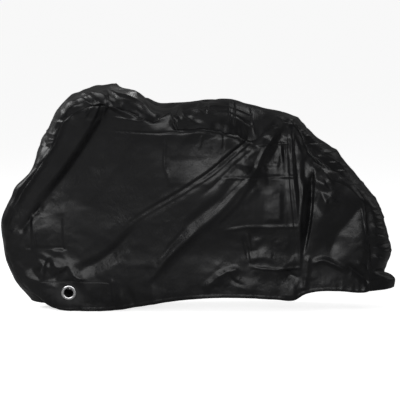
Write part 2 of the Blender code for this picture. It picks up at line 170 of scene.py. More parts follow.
def spline(table: tuple, places: Array) -> Array:
    """A smooth curve through the table's rows.

    Between two rows the curve is the cubic that has both rows' slopes, and a
    row's slope is the mean of the slopes beside it, weighted by nearness.

    Args:
        table: rows of numbers.
        places: shares of the curve's chord length, from 0 to 1, in any shape.

    Returns:
        One row of numbers for each place, in the same shape.
    """
    rows = np.array(table, dtype=float)
    steps = np.linalg.norm(np.diff(rows, axis=0), axis=1)
    knots = np.concatenate([[0.0], np.cumsum(steps)]) / steps.sum()
    slopes = np.diff(rows, axis=0) / np.diff(knots)[:, None]
    before, after = np.diff(knots)[:-1, None], np.diff(knots)[1:, None]
    middle = (slopes[:-1] * after + slopes[1:] * before) / (before + after)
    tangents = np.vstack([slopes[:1], middle, slopes[-1:]])
    index = np.clip(np.searchsorted(knots, places, side="right") - 1, 0, len(knots) - 2)
    span = np.diff(knots)[index][..., None]
    t = (places - knots[index])[..., None] / span
    return ((2 * t**3 - 3 * t**2 + 1) * rows[index] + (t**3 - 2 * t**2 + t) * span * tangents[index]
            + (3 * t**2 - 2 * t**3) * rows[index + 1] + (t**3 - t**2) * span * tangents[index + 1])


def chord(table: tuple) -> float:
    """The length of the straight runs between the table's rows."""
    return float(np.linalg.norm(np.diff(np.array(table, dtype=float), axis=0), axis=1).sum())


def wander(places: Array) -> Array:
    """The sewn seam's own small waves at places along an edge, as x, out and up.

    Each wave is a sine outwards and a quicker cosine up and along, and fades to
    nothing at both ends of the edge.

    Args:
        places: shares of the edge's length.

    Returns:
        One row of x, out and up for each place.
    """
    still = rise(places / WANDER_FADE) * rise((1.0 - places) / WANDER_FADE)
    total = np.zeros((*places.shape, 3))
    for wave in WANDERS:
        angle = 2 * np.pi * wave.waves * places + wave.phase
        swing, sway = still * np.sin(angle), still * np.cos(SWAY_PACE * angle)
        total += np.stack([wave.along_x * sway, wave.out * swing, wave.up * sway], axis=-1)
    return total


@dataclass(frozen=True)
class Tent:
    """A pleat in the seam before the saddle that stands up to a point."""

    x: float = -0.132
    left: float = 0.078
    right: float = 0.030
    height: float = 0.080
    out_share: float = 0.1

    def lift(self, x: Array) -> Array:
        """How far the pleat moves the seam: a straight rise to its point and a straight fall.

        Args:
            x: places along the seam.

        Returns:
            One row of x, out and up for each place.
        """
        away = (x - self.x) / np.where(x < self.x, -self.left, self.right)
        up = self.height * np.clip(1.0 - away, 0.0, None)
        return np.stack([0 * up, self.out_share * up, up], axis=-1)


def rise(value: Array) -> Array:
    """A smooth rise from 0 at 0 to 1 at 1: three squares less two cubes."""
    v = np.clip(value, 0.0, 1.0)
    return v * v * (3.0 - 2.0 * v)


def unit(vectors: Array) -> Array:
    """The vectors at length 1."""
    return vectors / np.maximum(np.linalg.norm(vectors, axis=-1, keepdims=True), TINY)


def shares(count: int, crowd: float) -> Array:
    """Shares from 0 to 1 that crowd towards both ends.

    Even shares, less a sine that slows them at the ends.

    Args:
        count: how many steps.
        crowd: from 0, even, to just under 1, very crowded.

    Returns:
        count + 1 rising shares.
    """
    u = np.linspace(0.0, 1.0, count + 1)
    return u - crowd * np.sin(2 * np.pi * u) / (2 * np.pi)


TENT = Tent()


# ---------------------------------------------------------------- relief

FOLD_POWER = 1.5       # how hollow a fold's flanks are: 1 is straight
RUNS_PER_ROW = 6       # straight runs between two rows of a rounded line


class Fold(NamedTuple):
    """A fold along a line in x and z.

    It stands out by height (in, if below zero), reaches left and right of the
    line as one walks along it, has a crest from crisp (0) to soft (1), and
    fades in and out over shares of its length.
    """

    path: tuple
    height: float
    left: float
    right: float
    soft: float
    fade_in: float
    fade_out: float


class Swell(NamedTuple):
    """A broad hump or hollow: centre, reach along x and z, turn in degrees, height."""

    x: float
    z: float
    reach_x: float
    reach_z: float
    turn: float
    height: float


class Facet(NamedTuple):
    """A nearly flat field between creases: its box in x and z, its slopes and height.

    It leans by slope_x and slope_z about its middle, which stands out by the
    height, and is let down over the edge's width.
    """

    low_x: float
    high_x: float
    low_z: float
    high_z: float
    slope_x: float
    slope_z: float
    height: float = 0.0
    edge: float = 0.030


class Zone(NamedTuple):
    """Where the cloth is crumpled: centre, reach, and strength."""

    x: float
    z: float
    reach_x: float
    reach_z: float
    strength: float


def fold_push(x: Array, z: Array, fold: Fold) -> Array:
    """How far one fold pushes the cloth out.

    The push is the fold's height on its line and nothing at its reach. Between
    them it falls as a power of a straight slope with a blunted top, times a
    smooth rise and fall along the line.

    Args:
        x: each place's x.
        z: each place's z.
        fold: the fold.

    Returns:
        One height for each place.
    """
    path = np.array(fold.path)
    steps = np.linalg.norm(np.diff(path, axis=0), axis=1)
    start_at = np.concatenate([[0.0], np.cumsum(steps)])
    nearest = np.full(x.shape, np.inf)
    along = np.zeros(x.shape)
    side = np.zeros(x.shape)
    for i, length in enumerate(steps):
        (ax, az), (bx, bz) = path[i], path[i + 1]
        ux, uz = (bx - ax) / length, (bz - az) / length
        run = np.clip((x - ax) * ux + (z - az) * uz, 0.0, length)
        distance = np.hypot(x - ax - run * ux, z - az - run * uz)
        closer = distance < nearest
        nearest = np.where(closer, distance, nearest)
        along = np.where(closer, (start_at[i] + run) / start_at[-1], along)
        side = np.where(closer, ux * (z - az) - uz * (x - ax), side)
    q = nearest / np.where(side > 0, fold.left, fold.right)
    blunt = (np.sqrt(q * q + fold.soft**2) - fold.soft) / (np.sqrt(1 + fold.soft**2) - fold.soft)
    profile = np.clip(1.0 - blunt, 0.0, None) ** FOLD_POWER
    grow = rise(along / fold.fade_in) if fold.fade_in else 1.0
    fade = rise((1.0 - along) / fold.fade_out) if fold.fade_out else 1.0
    return fold.height * profile * grow * fade


def smooth_path(fold: Fold) -> Fold:
    """The fold with its line rounded into a smooth curve of short straight runs.

    Args:
        fold: the fold.

    Returns:
        The fold with more rows in its line, or as it is if that is straight.
    """
    if len(fold.path) < 3:
        return fold
    count = RUNS_PER_ROW * (len(fold.path) - 1) + 1
    return fold._replace(path=tuple(map(tuple, spline(fold.path, np.linspace(0.0, 1.0, count)))))


def swell_push(x: Array, z: Array, swell: Swell) -> Array:
    """A bell over an ellipse: the height times e to the minus squared distance.

    Args:
        x: each place's x.
        z: each place's z.
        swell: the swell.

    Returns:
        One height for each place.
    """
    turn = math.radians(swell.turn)
    dx, dz = x - swell.x, z - swell.z
    u = (dx * math.cos(turn) + dz * math.sin(turn)) / swell.reach_x
    v = (-dx * math.sin(turn) + dz * math.cos(turn)) / swell.reach_z
    return swell.height * np.exp(-(u * u + v * v))


def facet_push(x: Array, z: Array, facet: Facet) -> Array:
    """A facet's leaning plane inside its box, let down to nothing just outside it.

    Args:
        x: each place's x.
        z: each place's z.
        facet: the facet.

    Returns:
        One height for each place.
    """
    inside = np.minimum(np.minimum(x - facet.low_x, facet.high_x - x),
                        np.minimum(z - facet.low_z, facet.high_z - z))
    mid_x, mid_z = (facet.low_x + facet.high_x) / 2, (facet.low_z + facet.high_z) / 2
    plane = facet.height + facet.slope_x * (x - mid_x) + facet.slope_z * (z - mid_z)
    return plane * rise(inside / facet.edge + 0.5)


def between(table: Array, i: Array, j: Array, a: Array, b: Array) -> Array:
    """A table's value between four entries, straight along both ways.

    Args:
        table: the values.
        i: the lower row of each place.
        j: the lower column of each place.
        a: each place's share of the way to the next row.
        b: each place's share of the way to the next column.

    Returns:
        One value for each place.
    """
    return ((1 - a) * (1 - b) * table[i, j] + (1 - a) * b * table[i, j + 1]
            + a * (1 - b) * table[i + 1, j] + a * b * table[i + 1, j + 1])


def zone_strength(x: Array, z: Array, zones: tuple, base: float) -> Array:
    """How strongly the cloth is crumpled: the base plus a bell for each zone.

    Args:
        x: each place's x.
        z: each place's z.
        zones: the zones.
        base: the strength far from every zone.

    Returns:
        One strength for each place.
    """
    total = np.full(x.shape, base)
    for zone in zones:
        away = ((x - zone.x) / zone.reach_x) ** 2 + ((z - zone.z) / zone.reach_z) ** 2
        total = total + zone.strength * np.exp(-away)
    return total


@dataclass
class Crumple:
    """A field of flat facets with crisp edges, as in cloth that was packed tight.

    Seeded points on a jittered net each get a seeded height, a triangulation
    joins them, and the height between them is flat in each triangle. A light
    blur rounds the edges. The field is a square tile that is laid on mirrored
    again and again, and the points pass its edges by a few cells.
    """

    seed: int
    mesh: float
    height: float
    jitter: float = 0.42
    tile: float = 1.3
    step: float = 0.004
    first_cell: float = -1.5
    extra_cells: int = 4
    lattice: Array = field(init=False, repr=False)

    def __post_init__(self) -> None:
        """Raise the facets once, over the tile."""
        draw = np.random.default_rng(self.seed)
        count = int(self.tile / self.mesh) + self.extra_cells
        gu, gv = np.meshgrid(np.arange(count), np.arange(count))
        points = np.stack([gu.ravel(), gv.ravel()], axis=1) + self.first_cell
        moved = points + draw.uniform(-self.jitter, self.jitter, points.shape)
        points = moved * self.mesh / self.step
        corners, _, faces, *_ = delaunay_2d_cdt([Vector(p) for p in points], [], [], 0, 1e-7)
        corners = np.array([tuple(c) for c in corners])
        heights = draw.normal(0.0, self.height, len(corners))
        size = int(self.tile / self.step) + 2
        net = np.zeros((size, size))
        for face in faces:
            self._fill(net, corners[list(face)], heights[list(face)])
        inner = slice(1, -1)
        for axis in (0, 1):
            blurred = (np.roll(net, 1, axis) + 2 * net + np.roll(net, -1, axis)) / 4
            net[inner, inner] = blurred[inner, inner]
        self.lattice = net

    def push(self, x: Array, z: Array, turn: float, stretch: float) -> Array:
        """The crumple's height at each place, between the lattice's four nearest points.

        Args:
            x: each place's x.
            z: each place's z.
            turn: how far the facets' long way is turned, in degrees.
            stretch: how much longer than wide the facets are.

        Returns:
            One height for each place.
        """
        angle = math.radians(turn)
        u = (x * math.cos(angle) + z * math.sin(angle)) / stretch
        v = -x * math.sin(angle) + z * math.cos(angle)
        at = [np.abs((w + self.tile) % (2 * self.tile) - self.tile) / self.step for w in (v, u)]
        i, j = (w.astype(int) for w in at)
        return between(self.lattice, i, j, at[0] - i, at[1] - j)

    @staticmethod
    def _fill(net: Array, corners: Array, heights: Array) -> None:
        """Write one flat triangle into the net by its corners' shares.

        Args:
            net: the lattice to write into.
            corners: the triangle's three corners.
            heights: their heights.
        """
        low = np.clip(np.floor(corners.min(0)).astype(int), 0, None)
        high = np.minimum(np.ceil(corners.max(0)).astype(int) + 1, net.shape[::-1])
        (ax, ay), (bx, by), (cx, cy) = corners
        area = (bx - ax) * (cy - ay) - (cx - ax) * (by - ay)
        if (high <= low).any() or abs(area) < 1e-9:
            return
        gx, gy = np.meshgrid(np.arange(low[0], high[0]), np.arange(low[1], high[1]))
        second = ((gx - ax) * (cy - ay) - (cx - ax) * (gy - ay)) / area
        third = ((bx - ax) * (gy - ay) - (gx - ax) * (by - ay)) / area
        inside = (second >= -1e-6) & (third >= -1e-6) & (second + third <= 1 + 1e-6)
        base, over_second, over_third = heights[0], heights[1] - heights[0], heights[2] - heights[0]
        value = base + second * over_second + third * over_third
        part = net[low[1]:high[1], low[0]:high[0]]
        part[inside] = value[inside]


@dataclass(frozen=True)
class Packing:
    """The grid of creases that the cover keeps from its packet.

    Between the lines each field is a sheet stretched over its four corners,
    which stand out or in by the table's heights.
    """

    x_lines: tuple
    z_lines: tuple
    heights: tuple

    def push(self, x: Array, z: Array) -> Array:
        """The grid's height at each place: straight along both ways in each field.

        Args:
            x: each place's x.
            z: each place's z.

        Returns:
            One height for each place.
        """
        xs, zs = np.array(self.x_lines), np.array(self.z_lines)
        j = np.clip(np.searchsorted(xs, x) - 1, 0, len(xs) - 2)
        i = np.clip(np.searchsorted(zs, z) - 1, 0, len(zs) - 2)
        b = np.clip((x - xs[j]) / (xs[j + 1] - xs[j]), 0.0, 1.0)
        a = np.clip((z - zs[i]) / (zs[i + 1] - zs[i]), 0.0, 1.0)
        return between(np.array(self.heights), i, j, a, b)


# ---------------------------------------------------------------- meshes


def mesh_object(name: str, points: Array, faces: Array, uv: Array | None = None) -> Piece:
    """A smooth mesh object from arrays.

    Args:
        name: the piece's name.
        points: one row of x, y, z for each vertex.
        faces: one row of vertex numbers for each face.
        uv: one row of u, v for each vertex, or None.

    Returns:
        The object, linked to the scene.
    """
    mesh = bpy.data.meshes.new(name)
    mesh.vertices.add(len(points))
    mesh.vertices.foreach_set("co", points.astype(np.float32).ravel())
    mesh.loops.add(faces.size)
    mesh.loops.foreach_set("vertex_index", faces.astype(np.int32).ravel())
    mesh.polygons.add(len(faces))
    starts = np.arange(0, faces.size, faces.shape[1], dtype=np.int32)
    mesh.polygons.foreach_set("loop_start", starts)
    mesh.update(calc_edges=True)
    if uv is not None:
        layer = mesh.uv_layers.new(name="cut")
        layer.uv.foreach_set("vector", uv[faces.ravel()].astype(np.float32).ravel())
    mesh.validate()
    mesh.shade_smooth()
    thing = bpy.data.objects.new(name, mesh)
    bpy.context.scene.collection.objects.link(thing)
    return thing


def net_faces(rows: int, columns: int, flip: bool, around: bool = False) -> Array:
    """The quads of a net of rows by columns of vertices.

    Args:
        rows: rows of vertices.
        columns: columns of vertices.
        flip: turn the faces over.
        around: join the last column to the first.

    Returns:
        One row of four vertex numbers for each quad.
    """
    index = np.arange(rows * columns).reshape(rows, columns)
    if around:
        index = np.concatenate([index, index[:, :1]], axis=1)
    quads = np.stack([index[:-1, :-1], index[:-1, 1:], index[1:, 1:], index[1:, :-1]], axis=-1)
    quads = quads.reshape(-1, 4)
    return quads[:, ::-1] if flip else quads


def drop_loose(piece: Piece) -> None:
    """Remove the vertices that no face uses.

    Args:
        piece: the mesh object.
    """
    work = bmesh.new()
    work.from_mesh(piece.data)
    loose = [v for v in work.verts if not v.link_faces]
    bmesh.ops.delete(work, geom=loose, context="VERTS")
    work.to_mesh(piece.data)
    work.free()


def cut_lengths(points: Array) -> Array:
    """A net's own flat coordinates: the length walked along its rows and up its columns.

    Args:
        points: the net's points.

    Returns:
        One row of u and v for each point.
    """
    across = np.linalg.norm(np.diff(points, axis=1), axis=-1)
    up = np.linalg.norm(np.diff(points, axis=0), axis=-1)
    u = np.concatenate([np.zeros((len(points), 1)), np.cumsum(across, axis=1)], axis=1)
    v = np.concatenate([np.zeros((1, points.shape[1])), np.cumsum(up, axis=0)], axis=0)
    return np.stack([u - u[:, -1:] / 2, v], axis=-1)


def net_area(points: Array) -> float:
    """The area of a net: half the cross product of each quad's diagonals, summed.

    Args:
        points: the net's points.

    Returns:
        The area in square metres.
    """
    first = points[1:, 1:] - points[:-1, :-1]
    second = points[1:, :-1] - points[:-1, 1:]
    return float(np.linalg.norm(np.cross(first, second), axis=-1).sum() / 2)


def net_normals(points: Array) -> Array:
    """The net's normals, from the slopes along its columns and rows."""
    return unit(np.cross(np.gradient(points, axis=1), np.gradient(points, axis=0)))


# ---------------------------------------------------------------- finishes


def link(tree: Tree, source: object, target: object) -> None:
    """Join two sockets."""
    tree.links.new(source, target)


def node(tree: Tree, kind: str, **settings: object) -> bpy.types.Node:
    """Add a shader node with its settings.

    Args:
        tree: the node tree.
        kind: the node's type.
        settings: its properties by name.

    Returns:
        The node.
    """
    made = tree.nodes.new(kind)
    for name, value in settings.items():
        setattr(made, name, value)
    return made


def maths(tree: Tree, operation: str, *values: object) -> object:
    """A Math node on sockets or numbers, and its output.

    Args:
        tree: the node tree.
        operation: what the node does.
        values: its inputs in order.

    Returns:
        The output socket.
    """
    made = node(tree, "ShaderNodeMath", operation=operation)
    for socket, value in zip(made.inputs, values):
        if isinstance(value, (int, float)):
            socket.default_value = value
        else:
            link(tree, value, socket)
    return made.outputs[0]


def noise(tree: Tree, place: object, scale: float, detail: float, rough: float = 0.5) -> object:
    """A noise texture's value at a place.

    Args:
        tree: the node tree.
        place: the socket with the place to read.
        scale: how fine it is.
        detail: its octaves.
        rough: how strong the finer octaves are.

    Returns:
        The output socket.
    """
    made = node(tree, "ShaderNodeTexNoise")
    made.inputs["Scale"].default_value = scale
    made.inputs["Detail"].default_value = detail
    made.inputs["Roughness"].default_value = rough
    link(tree, place, made.inputs["Vector"])
    return made.outputs["Fac"]


def ramp(tree: Tree, value: object, start: float, end: float, low: float = 0.0,
         high: float = 1.0) -> object:
    """A smooth rise from low to high as the value goes from start to end.

    Args:
        tree: the node tree.
        value: the socket to read.
        start: the value at low.
        end: the value at high.
        low: the lowest result.
        high: the highest result.

    Returns:
        The output socket.
    """
    made = node(tree, "ShaderNodeMapRange", interpolation_type="SMOOTHSTEP")
    for name, number in (("From Min", start), ("From Max", end), ("To Min", low), ("To Max", high)):
        made.inputs[name].default_value = number
    link(tree, value, made.inputs["Value"])
    return made.outputs[0]


def blend(tree: Tree, share: object, first: tuple, second: tuple) -> object:
    """A mix of two colours by a share, and its output.

    Args:
        tree: the node tree.
        share: the socket with the second colour's share.
        first: the colour at 0.
        second: the colour at 1.

    Returns:
        The output socket.
    """
    mix = node(tree, "ShaderNodeMix", data_type="RGBA")
    link(tree, share, mix.inputs["Factor"])
    mix.inputs[6].default_value = (*first, 1.0)
    mix.inputs[7].default_value = (*second, 1.0)
    return mix.outputs[2]


def bump(tree: Tree, height: object, depth: float, under: object = None,
         strength: float = 1.0) -> object:
    """A Bump node of a depth in metres, on top of another normal if one is given.

    Args:
        tree: the node tree.
        height: the socket with the height.
        depth: metres at height 1.
        under: the normal below, if any.
        strength: the share of the effect.

    Returns:
        The output socket.
    """
    made = node(tree, "ShaderNodeBump")
    made.inputs["Distance"].default_value = depth
    made.inputs["Strength"].default_value = strength
    link(tree, height, made.inputs["Height"])
    if under is not None:
        link(tree, under, made.inputs["Normal"])
    return made.outputs[0]


def group_with(name: str, inputs: dict, outputs: dict) -> Tree:
    """A node group with named sockets.

    Args:
        name: the group's name.
        inputs: socket names with (kind, default).
        outputs: socket names with kind.

    Returns:
        The group's tree, with its input and output nodes named in and out.
    """
    tree = bpy.data.node_groups.new(name, "ShaderNodeTree")
    for label, (kind, default) in inputs.items():
        socket = tree.interface.new_socket(label, in_out="INPUT", socket_type=kind)
        if default is not None:
            socket.default_value = default
    for label, kind in outputs.items():
        tree.interface.new_socket(label, in_out="OUTPUT", socket_type=kind)
    node(tree, "NodeGroupInput", name="in")
    node(tree, "NodeGroupOutput", name="out")
    return tree


def weave_group() -> Tree:
    """Plain weave: warp and weft threads that pass over each other in turn.

    Returns:
        The group's tree.
    """
    tree = group_with("plain_weave",
                      {"Cut": ("NodeSocketVector", None), "Threads": ("NodeSocketFloat", 1500.0)},
                      {"Height": "NodeSocketFloat", "Slub": "NodeSocketFloat"})
    start, end = tree.nodes["in"], tree.nodes["out"]
    scaled = node(tree, "ShaderNodeVectorMath", operation="SCALE")
    link(tree, start.outputs["Cut"], scaled.inputs[0])
    link(tree, start.outputs["Threads"], scaled.inputs["Scale"])
    axes = node(tree, "ShaderNodeSeparateXYZ")
    link(tree, scaled.outputs[0], axes.inputs[0])
    waves = [maths(tree, "SINE", maths(tree, "MULTIPLY", axes.outputs[i], math.pi)) for i in (0, 1)]
    threads = [maths(tree, "ABSOLUTE", wave) for wave in waves]
    checker = node(tree, "ShaderNodeTexChecker")
    checker.inputs["Color1"].default_value = (1, 1, 1, 1)
    checker.inputs["Color2"].default_value = (0, 0, 0, 1)
    checker.inputs["Scale"].default_value = 1.0
    link(tree, scaled.outputs[0], checker.inputs["Vector"])
    pick = node(tree, "ShaderNodeMix", data_type="FLOAT")
    link(tree, checker.outputs["Fac"], pick.inputs["Factor"])
    link(tree, threads[0], pick.inputs[2])
    link(tree, threads[1], pick.inputs[3])
    link(tree, pick.outputs[0], end.inputs["Height"])
    # the slubs: a noise drawn out along the threads
    drawn = node(tree, "ShaderNodeVectorMath", operation="MULTIPLY")
    drawn.inputs[1].default_value = (0.004, 0.25, 1.0)
    link(tree, scaled.outputs[0], drawn.inputs[0])
    link(tree, noise(tree, drawn.outputs[0], 1.0, 2.0), end.inputs["Slub"])
    return tree


def crinkle_group() -> Tree:
    """Fine crinkles: small tilted facets with crisp valleys, in patches.

    The height is the distance to the nearest edge of two sizes of irregular
    cells, more in some patches than in others, over a soft noise.

    Returns:
        The group's tree.
    """
    tree = group_with("fine_crinkle",
                      {"Place": ("NodeSocketVector", None), "Cells": ("NodeSocketFloat", 30.0)},
                      {"Height": "NodeSocketFloat", "Patch": "NodeSocketFloat"})
    start, end = tree.nodes["in"], tree.nodes["out"]
    place = start.outputs["Place"]
    patch = ramp(tree, noise(tree, place, 4.5, 2.0), 0.42, 0.66)
    heights = []
    for scale, tilt in ((1.0, 0.6), (2.3, -0.5)):
        turn = node(tree, "ShaderNodeMapping")
        turn.inputs["Rotation"].default_value = (tilt, tilt, tilt)
        turn.inputs["Scale"].default_value = (scale, scale, 0.7 * scale)
        link(tree, place, turn.inputs["Vector"])
        cells = node(tree, "ShaderNodeTexVoronoi", feature="DISTANCE_TO_EDGE")
        link(tree, turn.outputs[0], cells.inputs["Vector"])
        link(tree, start.outputs["Cells"], cells.inputs["Scale"])
        heights.append(maths(tree, "MINIMUM", cells.outputs["Distance"], 0.35))
    both = maths(tree, "MULTIPLY_ADD", heights[1], 0.4, heights[0])
    masked = maths(tree, "MULTIPLY", both, patch)
    soft = noise(tree, place, 24.0, 4.0, 0.5)
    link(tree, maths(tree, "MULTIPLY_ADD", soft, 0.5, masked), end.inputs["Height"])
    link(tree, patch, end.inputs["Patch"])
    return tree


def wear_group() -> Tree:
    """Dust and rubbing: a patchy mask that is fuller near the ground.

    Returns:
        The group's tree.
    """
    tree = group_with("dust_and_wear",
                      {"Place": ("NodeSocketVector", None), "Fine": ("NodeSocketFloat", 0.0)},
                      {"Mask": "NodeSocketFloat"})
    start, end = tree.nodes["in"], tree.nodes["out"]
    place = start.outputs["Place"]
    patchy = ramp(tree, noise(tree, place, 7.0, 8.0, 0.62), 0.42, 0.75)
    axes = node(tree, "ShaderNodeSeparateXYZ")
    link(tree, place, axes.inputs[0])
    low = ramp(tree, axes.outputs["Z"], 0.0, 0.35, 1.0, 0.35)
    mask = maths(tree, "MULTIPLY", patchy, low)
    link(tree, maths(tree, "MULTIPLY_ADD", start.outputs["Fine"], 0.25, mask), end.inputs["Mask"])
    return tree


@dataclass
class Effects:
    """The shared effects, each built once."""

    weave: Tree = field(default_factory=weave_group)
    crinkle: Tree = field(default_factory=crinkle_group)
    wear: Tree = field(default_factory=wear_group)


def new_material(name: str) -> tuple[Material, Tree, bpy.types.Node]:
    """A material with its tree and its Principled shader.

    Args:
        name: the material's name.

    Returns:
        The material, its tree and its shader.
    """
    made = bpy.data.materials.new(name)
    made.use_nodes = True
    return made, made.node_tree, made.node_tree.nodes["Principled BSDF"]


@dataclass(frozen=True)
class CoatedCloth:
    """Black nylon taffeta with a coated back: a soft gloss, crinkles and a fine weave."""

    name: str = "coated_cloth"
    black: tuple = (0.0079, 0.0079, 0.0087)
    worn: tuple = (0.0150, 0.0150, 0.0160)
    smooth: float = 0.31
    rough: float = 0.47
    specular: float = 0.50
    sheen: float = 0.03
    sheen_rough: float = 0.35
    crinkle: float = 0.0016
    cells: float = 32.0
    thread_count: float = 1400.0
    thread_depth: float = 0.00005

    def material(self, effects: Effects) -> Material:
        """The finish as a material.

        Args:
            effects: the shared effects.

        Returns:
            A new material.
        """
        made, tree, shader = new_material(self.name)
        shader.inputs["Specular IOR Level"].default_value = self.specular
        shader.inputs["Sheen Weight"].default_value = self.sheen
        shader.inputs["Sheen Roughness"].default_value = self.sheen_rough
        where = node(tree, "ShaderNodeTexCoord")
        place = where.outputs["Object"]
        crinkle = node(tree, "ShaderNodeGroup", node_tree=effects.crinkle)
        crinkle.inputs["Cells"].default_value = self.cells
        link(tree, place, crinkle.inputs["Place"])
        weave = node(tree, "ShaderNodeGroup", node_tree=effects.weave)
        weave.inputs["Threads"].default_value = self.thread_count
        link(tree, where.outputs["UV"], weave.inputs["Cut"])
        wear = node(tree, "ShaderNodeGroup", node_tree=effects.wear)
        link(tree, place, wear.inputs["Place"])
        link(tree, weave.outputs["Slub"], wear.inputs["Fine"])
        colour = blend(tree, wear.outputs["Mask"], self.black, self.worn)
        link(tree, colour, shader.inputs["Base Color"])
        gloss = ramp(tree, wear.outputs["Mask"], 0.0, 1.0, self.smooth, self.rough)
        link(tree, gloss, shader.inputs["Roughness"])
        fine = bump(tree, weave.outputs["Height"], self.thread_depth)
        normal = bump(tree, crinkle.outputs["Height"], self.crinkle, fine)
        link(tree, normal, shader.inputs["Normal"])
        return made


@dataclass(frozen=True)
class Nickel:
    """Bright nickel plate with a satin grain and a few dull spots."""

    name: str = "bright_nickel"
    bright: tuple = (0.86, 0.86, 0.87)
    dull: tuple = (0.62, 0.62, 0.63)
    smooth: float = 0.22
    rough: float = 0.42
    spots: float = 160.0
    spot_detail: float = 6.0
    spot_range: tuple = (0.45, 0.75)
    grain_depth: float = 0.0001

    def material(self) -> Material:
        """The finish as a material.

        Returns:
            A new material.
        """
        made, tree, shader = new_material(self.name)
        shader.inputs["Metallic"].default_value = 1.0
        place = node(tree, "ShaderNodeTexCoord").outputs["Object"]
        spots = noise(tree, place, self.spots, self.spot_detail)
        mask = ramp(tree, spots, *self.spot_range)
        link(tree, blend(tree, mask, self.bright, self.dull), shader.inputs["Base Color"])
        link(tree, ramp(tree, mask, 0.0, 1.0, self.smooth, self.rough), shader.inputs["Roughness"])
        link(tree, bump(tree, spots, self.grain_depth), shader.inputs["Normal"])
        return made


@dataclass(frozen=True)
class Thread:
    """Black twisted sewing thread."""

    name: str = "black_thread"
    dark: tuple = (0.010, 0.010, 0.011)
    light: tuple = (0.035, 0.035, 0.037)
    roughness: float = 0.55
    twists: float = 900.0
    twist_depth: float = 0.0001

    def material(self) -> Material:
        """The finish as a material.

        Returns:
            A new material.
        """
        made, tree, shader = new_material(self.name)
        shader.inputs["Roughness"].default_value = self.roughness
        twist = node(tree, "ShaderNodeTexWave", wave_type="BANDS", bands_direction="DIAGONAL")
        twist.inputs["Scale"].default_value = self.twists
        link(tree, node(tree, "ShaderNodeTexCoord").outputs["Object"], twist.inputs["Vector"])
        colour = blend(tree, twist.outputs["Fac"], self.dark, self.light)
        link(tree, colour, shader.inputs["Base Color"])
        link(tree, bump(tree, twist.outputs["Fac"], self.twist_depth), shader.inputs["Normal"])
        return made


# ---------------------------------------------------------------- stitching


@dataclass
class Stitching:
    """Rows of lockstitch: one small spindle for each stitch, all in one mesh."""

    name: str
    pitch: float = 0.0040
    length: float = 0.0032
    radius: float = 0.00034
    body: float = 0.3
    proud: float = 0.5
    sides: int = 5
    lines: list = field(default_factory=list)

    def add(self, points: Array, normals: Array) -> None:
        """Add a row along a line of points with the cloth's normals there."""
        self.lines.append((points, normals))

    def _spindle(self) -> tuple[Array, Array]:
        """One stitch: two tips and two rings, with vertices as along, out and across.

        Returns:
            The vertices and the triangles.
        """
        turn = 2 * np.pi * np.arange(self.sides) / self.sides
        ring = np.stack([np.zeros(self.sides), self.radius * (self.proud + np.cos(turn)),
                         self.radius * np.sin(turn)], axis=1)
        tip = np.array([[self.length / 2, -self.radius, 0.0]])
        reach = np.array([self.body * self.length, 0.0, 0.0])
        points = np.concatenate([-tip * (1, -1, 1), ring - reach, ring + reach, tip])
        a = 1 + np.arange(self.sides)
        b = 1 + (np.arange(self.sides) + 1) % self.sides
        last = len(points) - 1
        faces = np.concatenate([
            np.stack([np.zeros_like(a), b, a], axis=1),
            np.stack([a, b, b + self.sides], axis=1),
            np.stack([a, b + self.sides, a + self.sides], axis=1),
            np.stack([np.full_like(a, last), a + self.sides, b + self.sides], axis=1),
        ])
        return points, faces

    @staticmethod
    def _read(rows: Array, at: Array, places: Array) -> Array:
        """The rows' x, y and z at places along their line."""
        return np.stack([np.interp(places, at, rows[:, i]) for i in range(3)], axis=1)

    def _stitches(self, points: Array, normals: Array) -> tuple[Array, Array]:
        """The stitches' vertices along one line, and their triangles.

        Args:
            points: the line's points.
            normals: the cloth's normals there.

        Returns:
            The vertices and the triangles.
        """
        steps = np.linalg.norm(np.diff(points, axis=0), axis=1)
        at = np.concatenate([[0.0], np.cumsum(steps)])
        half = self.pitch / 2
        middles = np.arange(half, at[-1], self.pitch)
        middle = self._read(points, at, middles)
        ahead, back = self._read(points, at, middles + half), self._read(points, at, middles - half)
        along = unit(ahead - back)
        out = unit(self._read(normals, at, middles))
        across = np.cross(along, out)
        shape, faces = self._spindle()
        axes = np.stack([along, out, across], axis=1)
        placed = middle[:, None] + np.einsum("vk,skc->svc", shape, axes)
        offset = np.arange(len(middles))[:, None, None] * len(shape)
        return placed.reshape(-1, 3), (faces[None] + offset).reshape(-1, 3)

    def build(self, finish: Material) -> Piece:
        """Make all the rows as one piece that rides with the cover.

        Args:
            finish: the thread's material.

        Returns:
            The piece.
        """
        points, faces, count = [], [], 0
        for line, normals in self.lines:
            placed, triangles = self._stitches(line, normals)
            points.append(placed)
            faces.append(triangles + count)
            count += len(placed)
        piece = mesh_object(self.name, np.concatenate(points), np.concatenate(faces))
        piece.data.materials.append(finish)
        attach(piece, "root")
        return piece


# ---------------------------------------------------------------- side panels

# each row is a fold's line in x and z, then its other fields in order

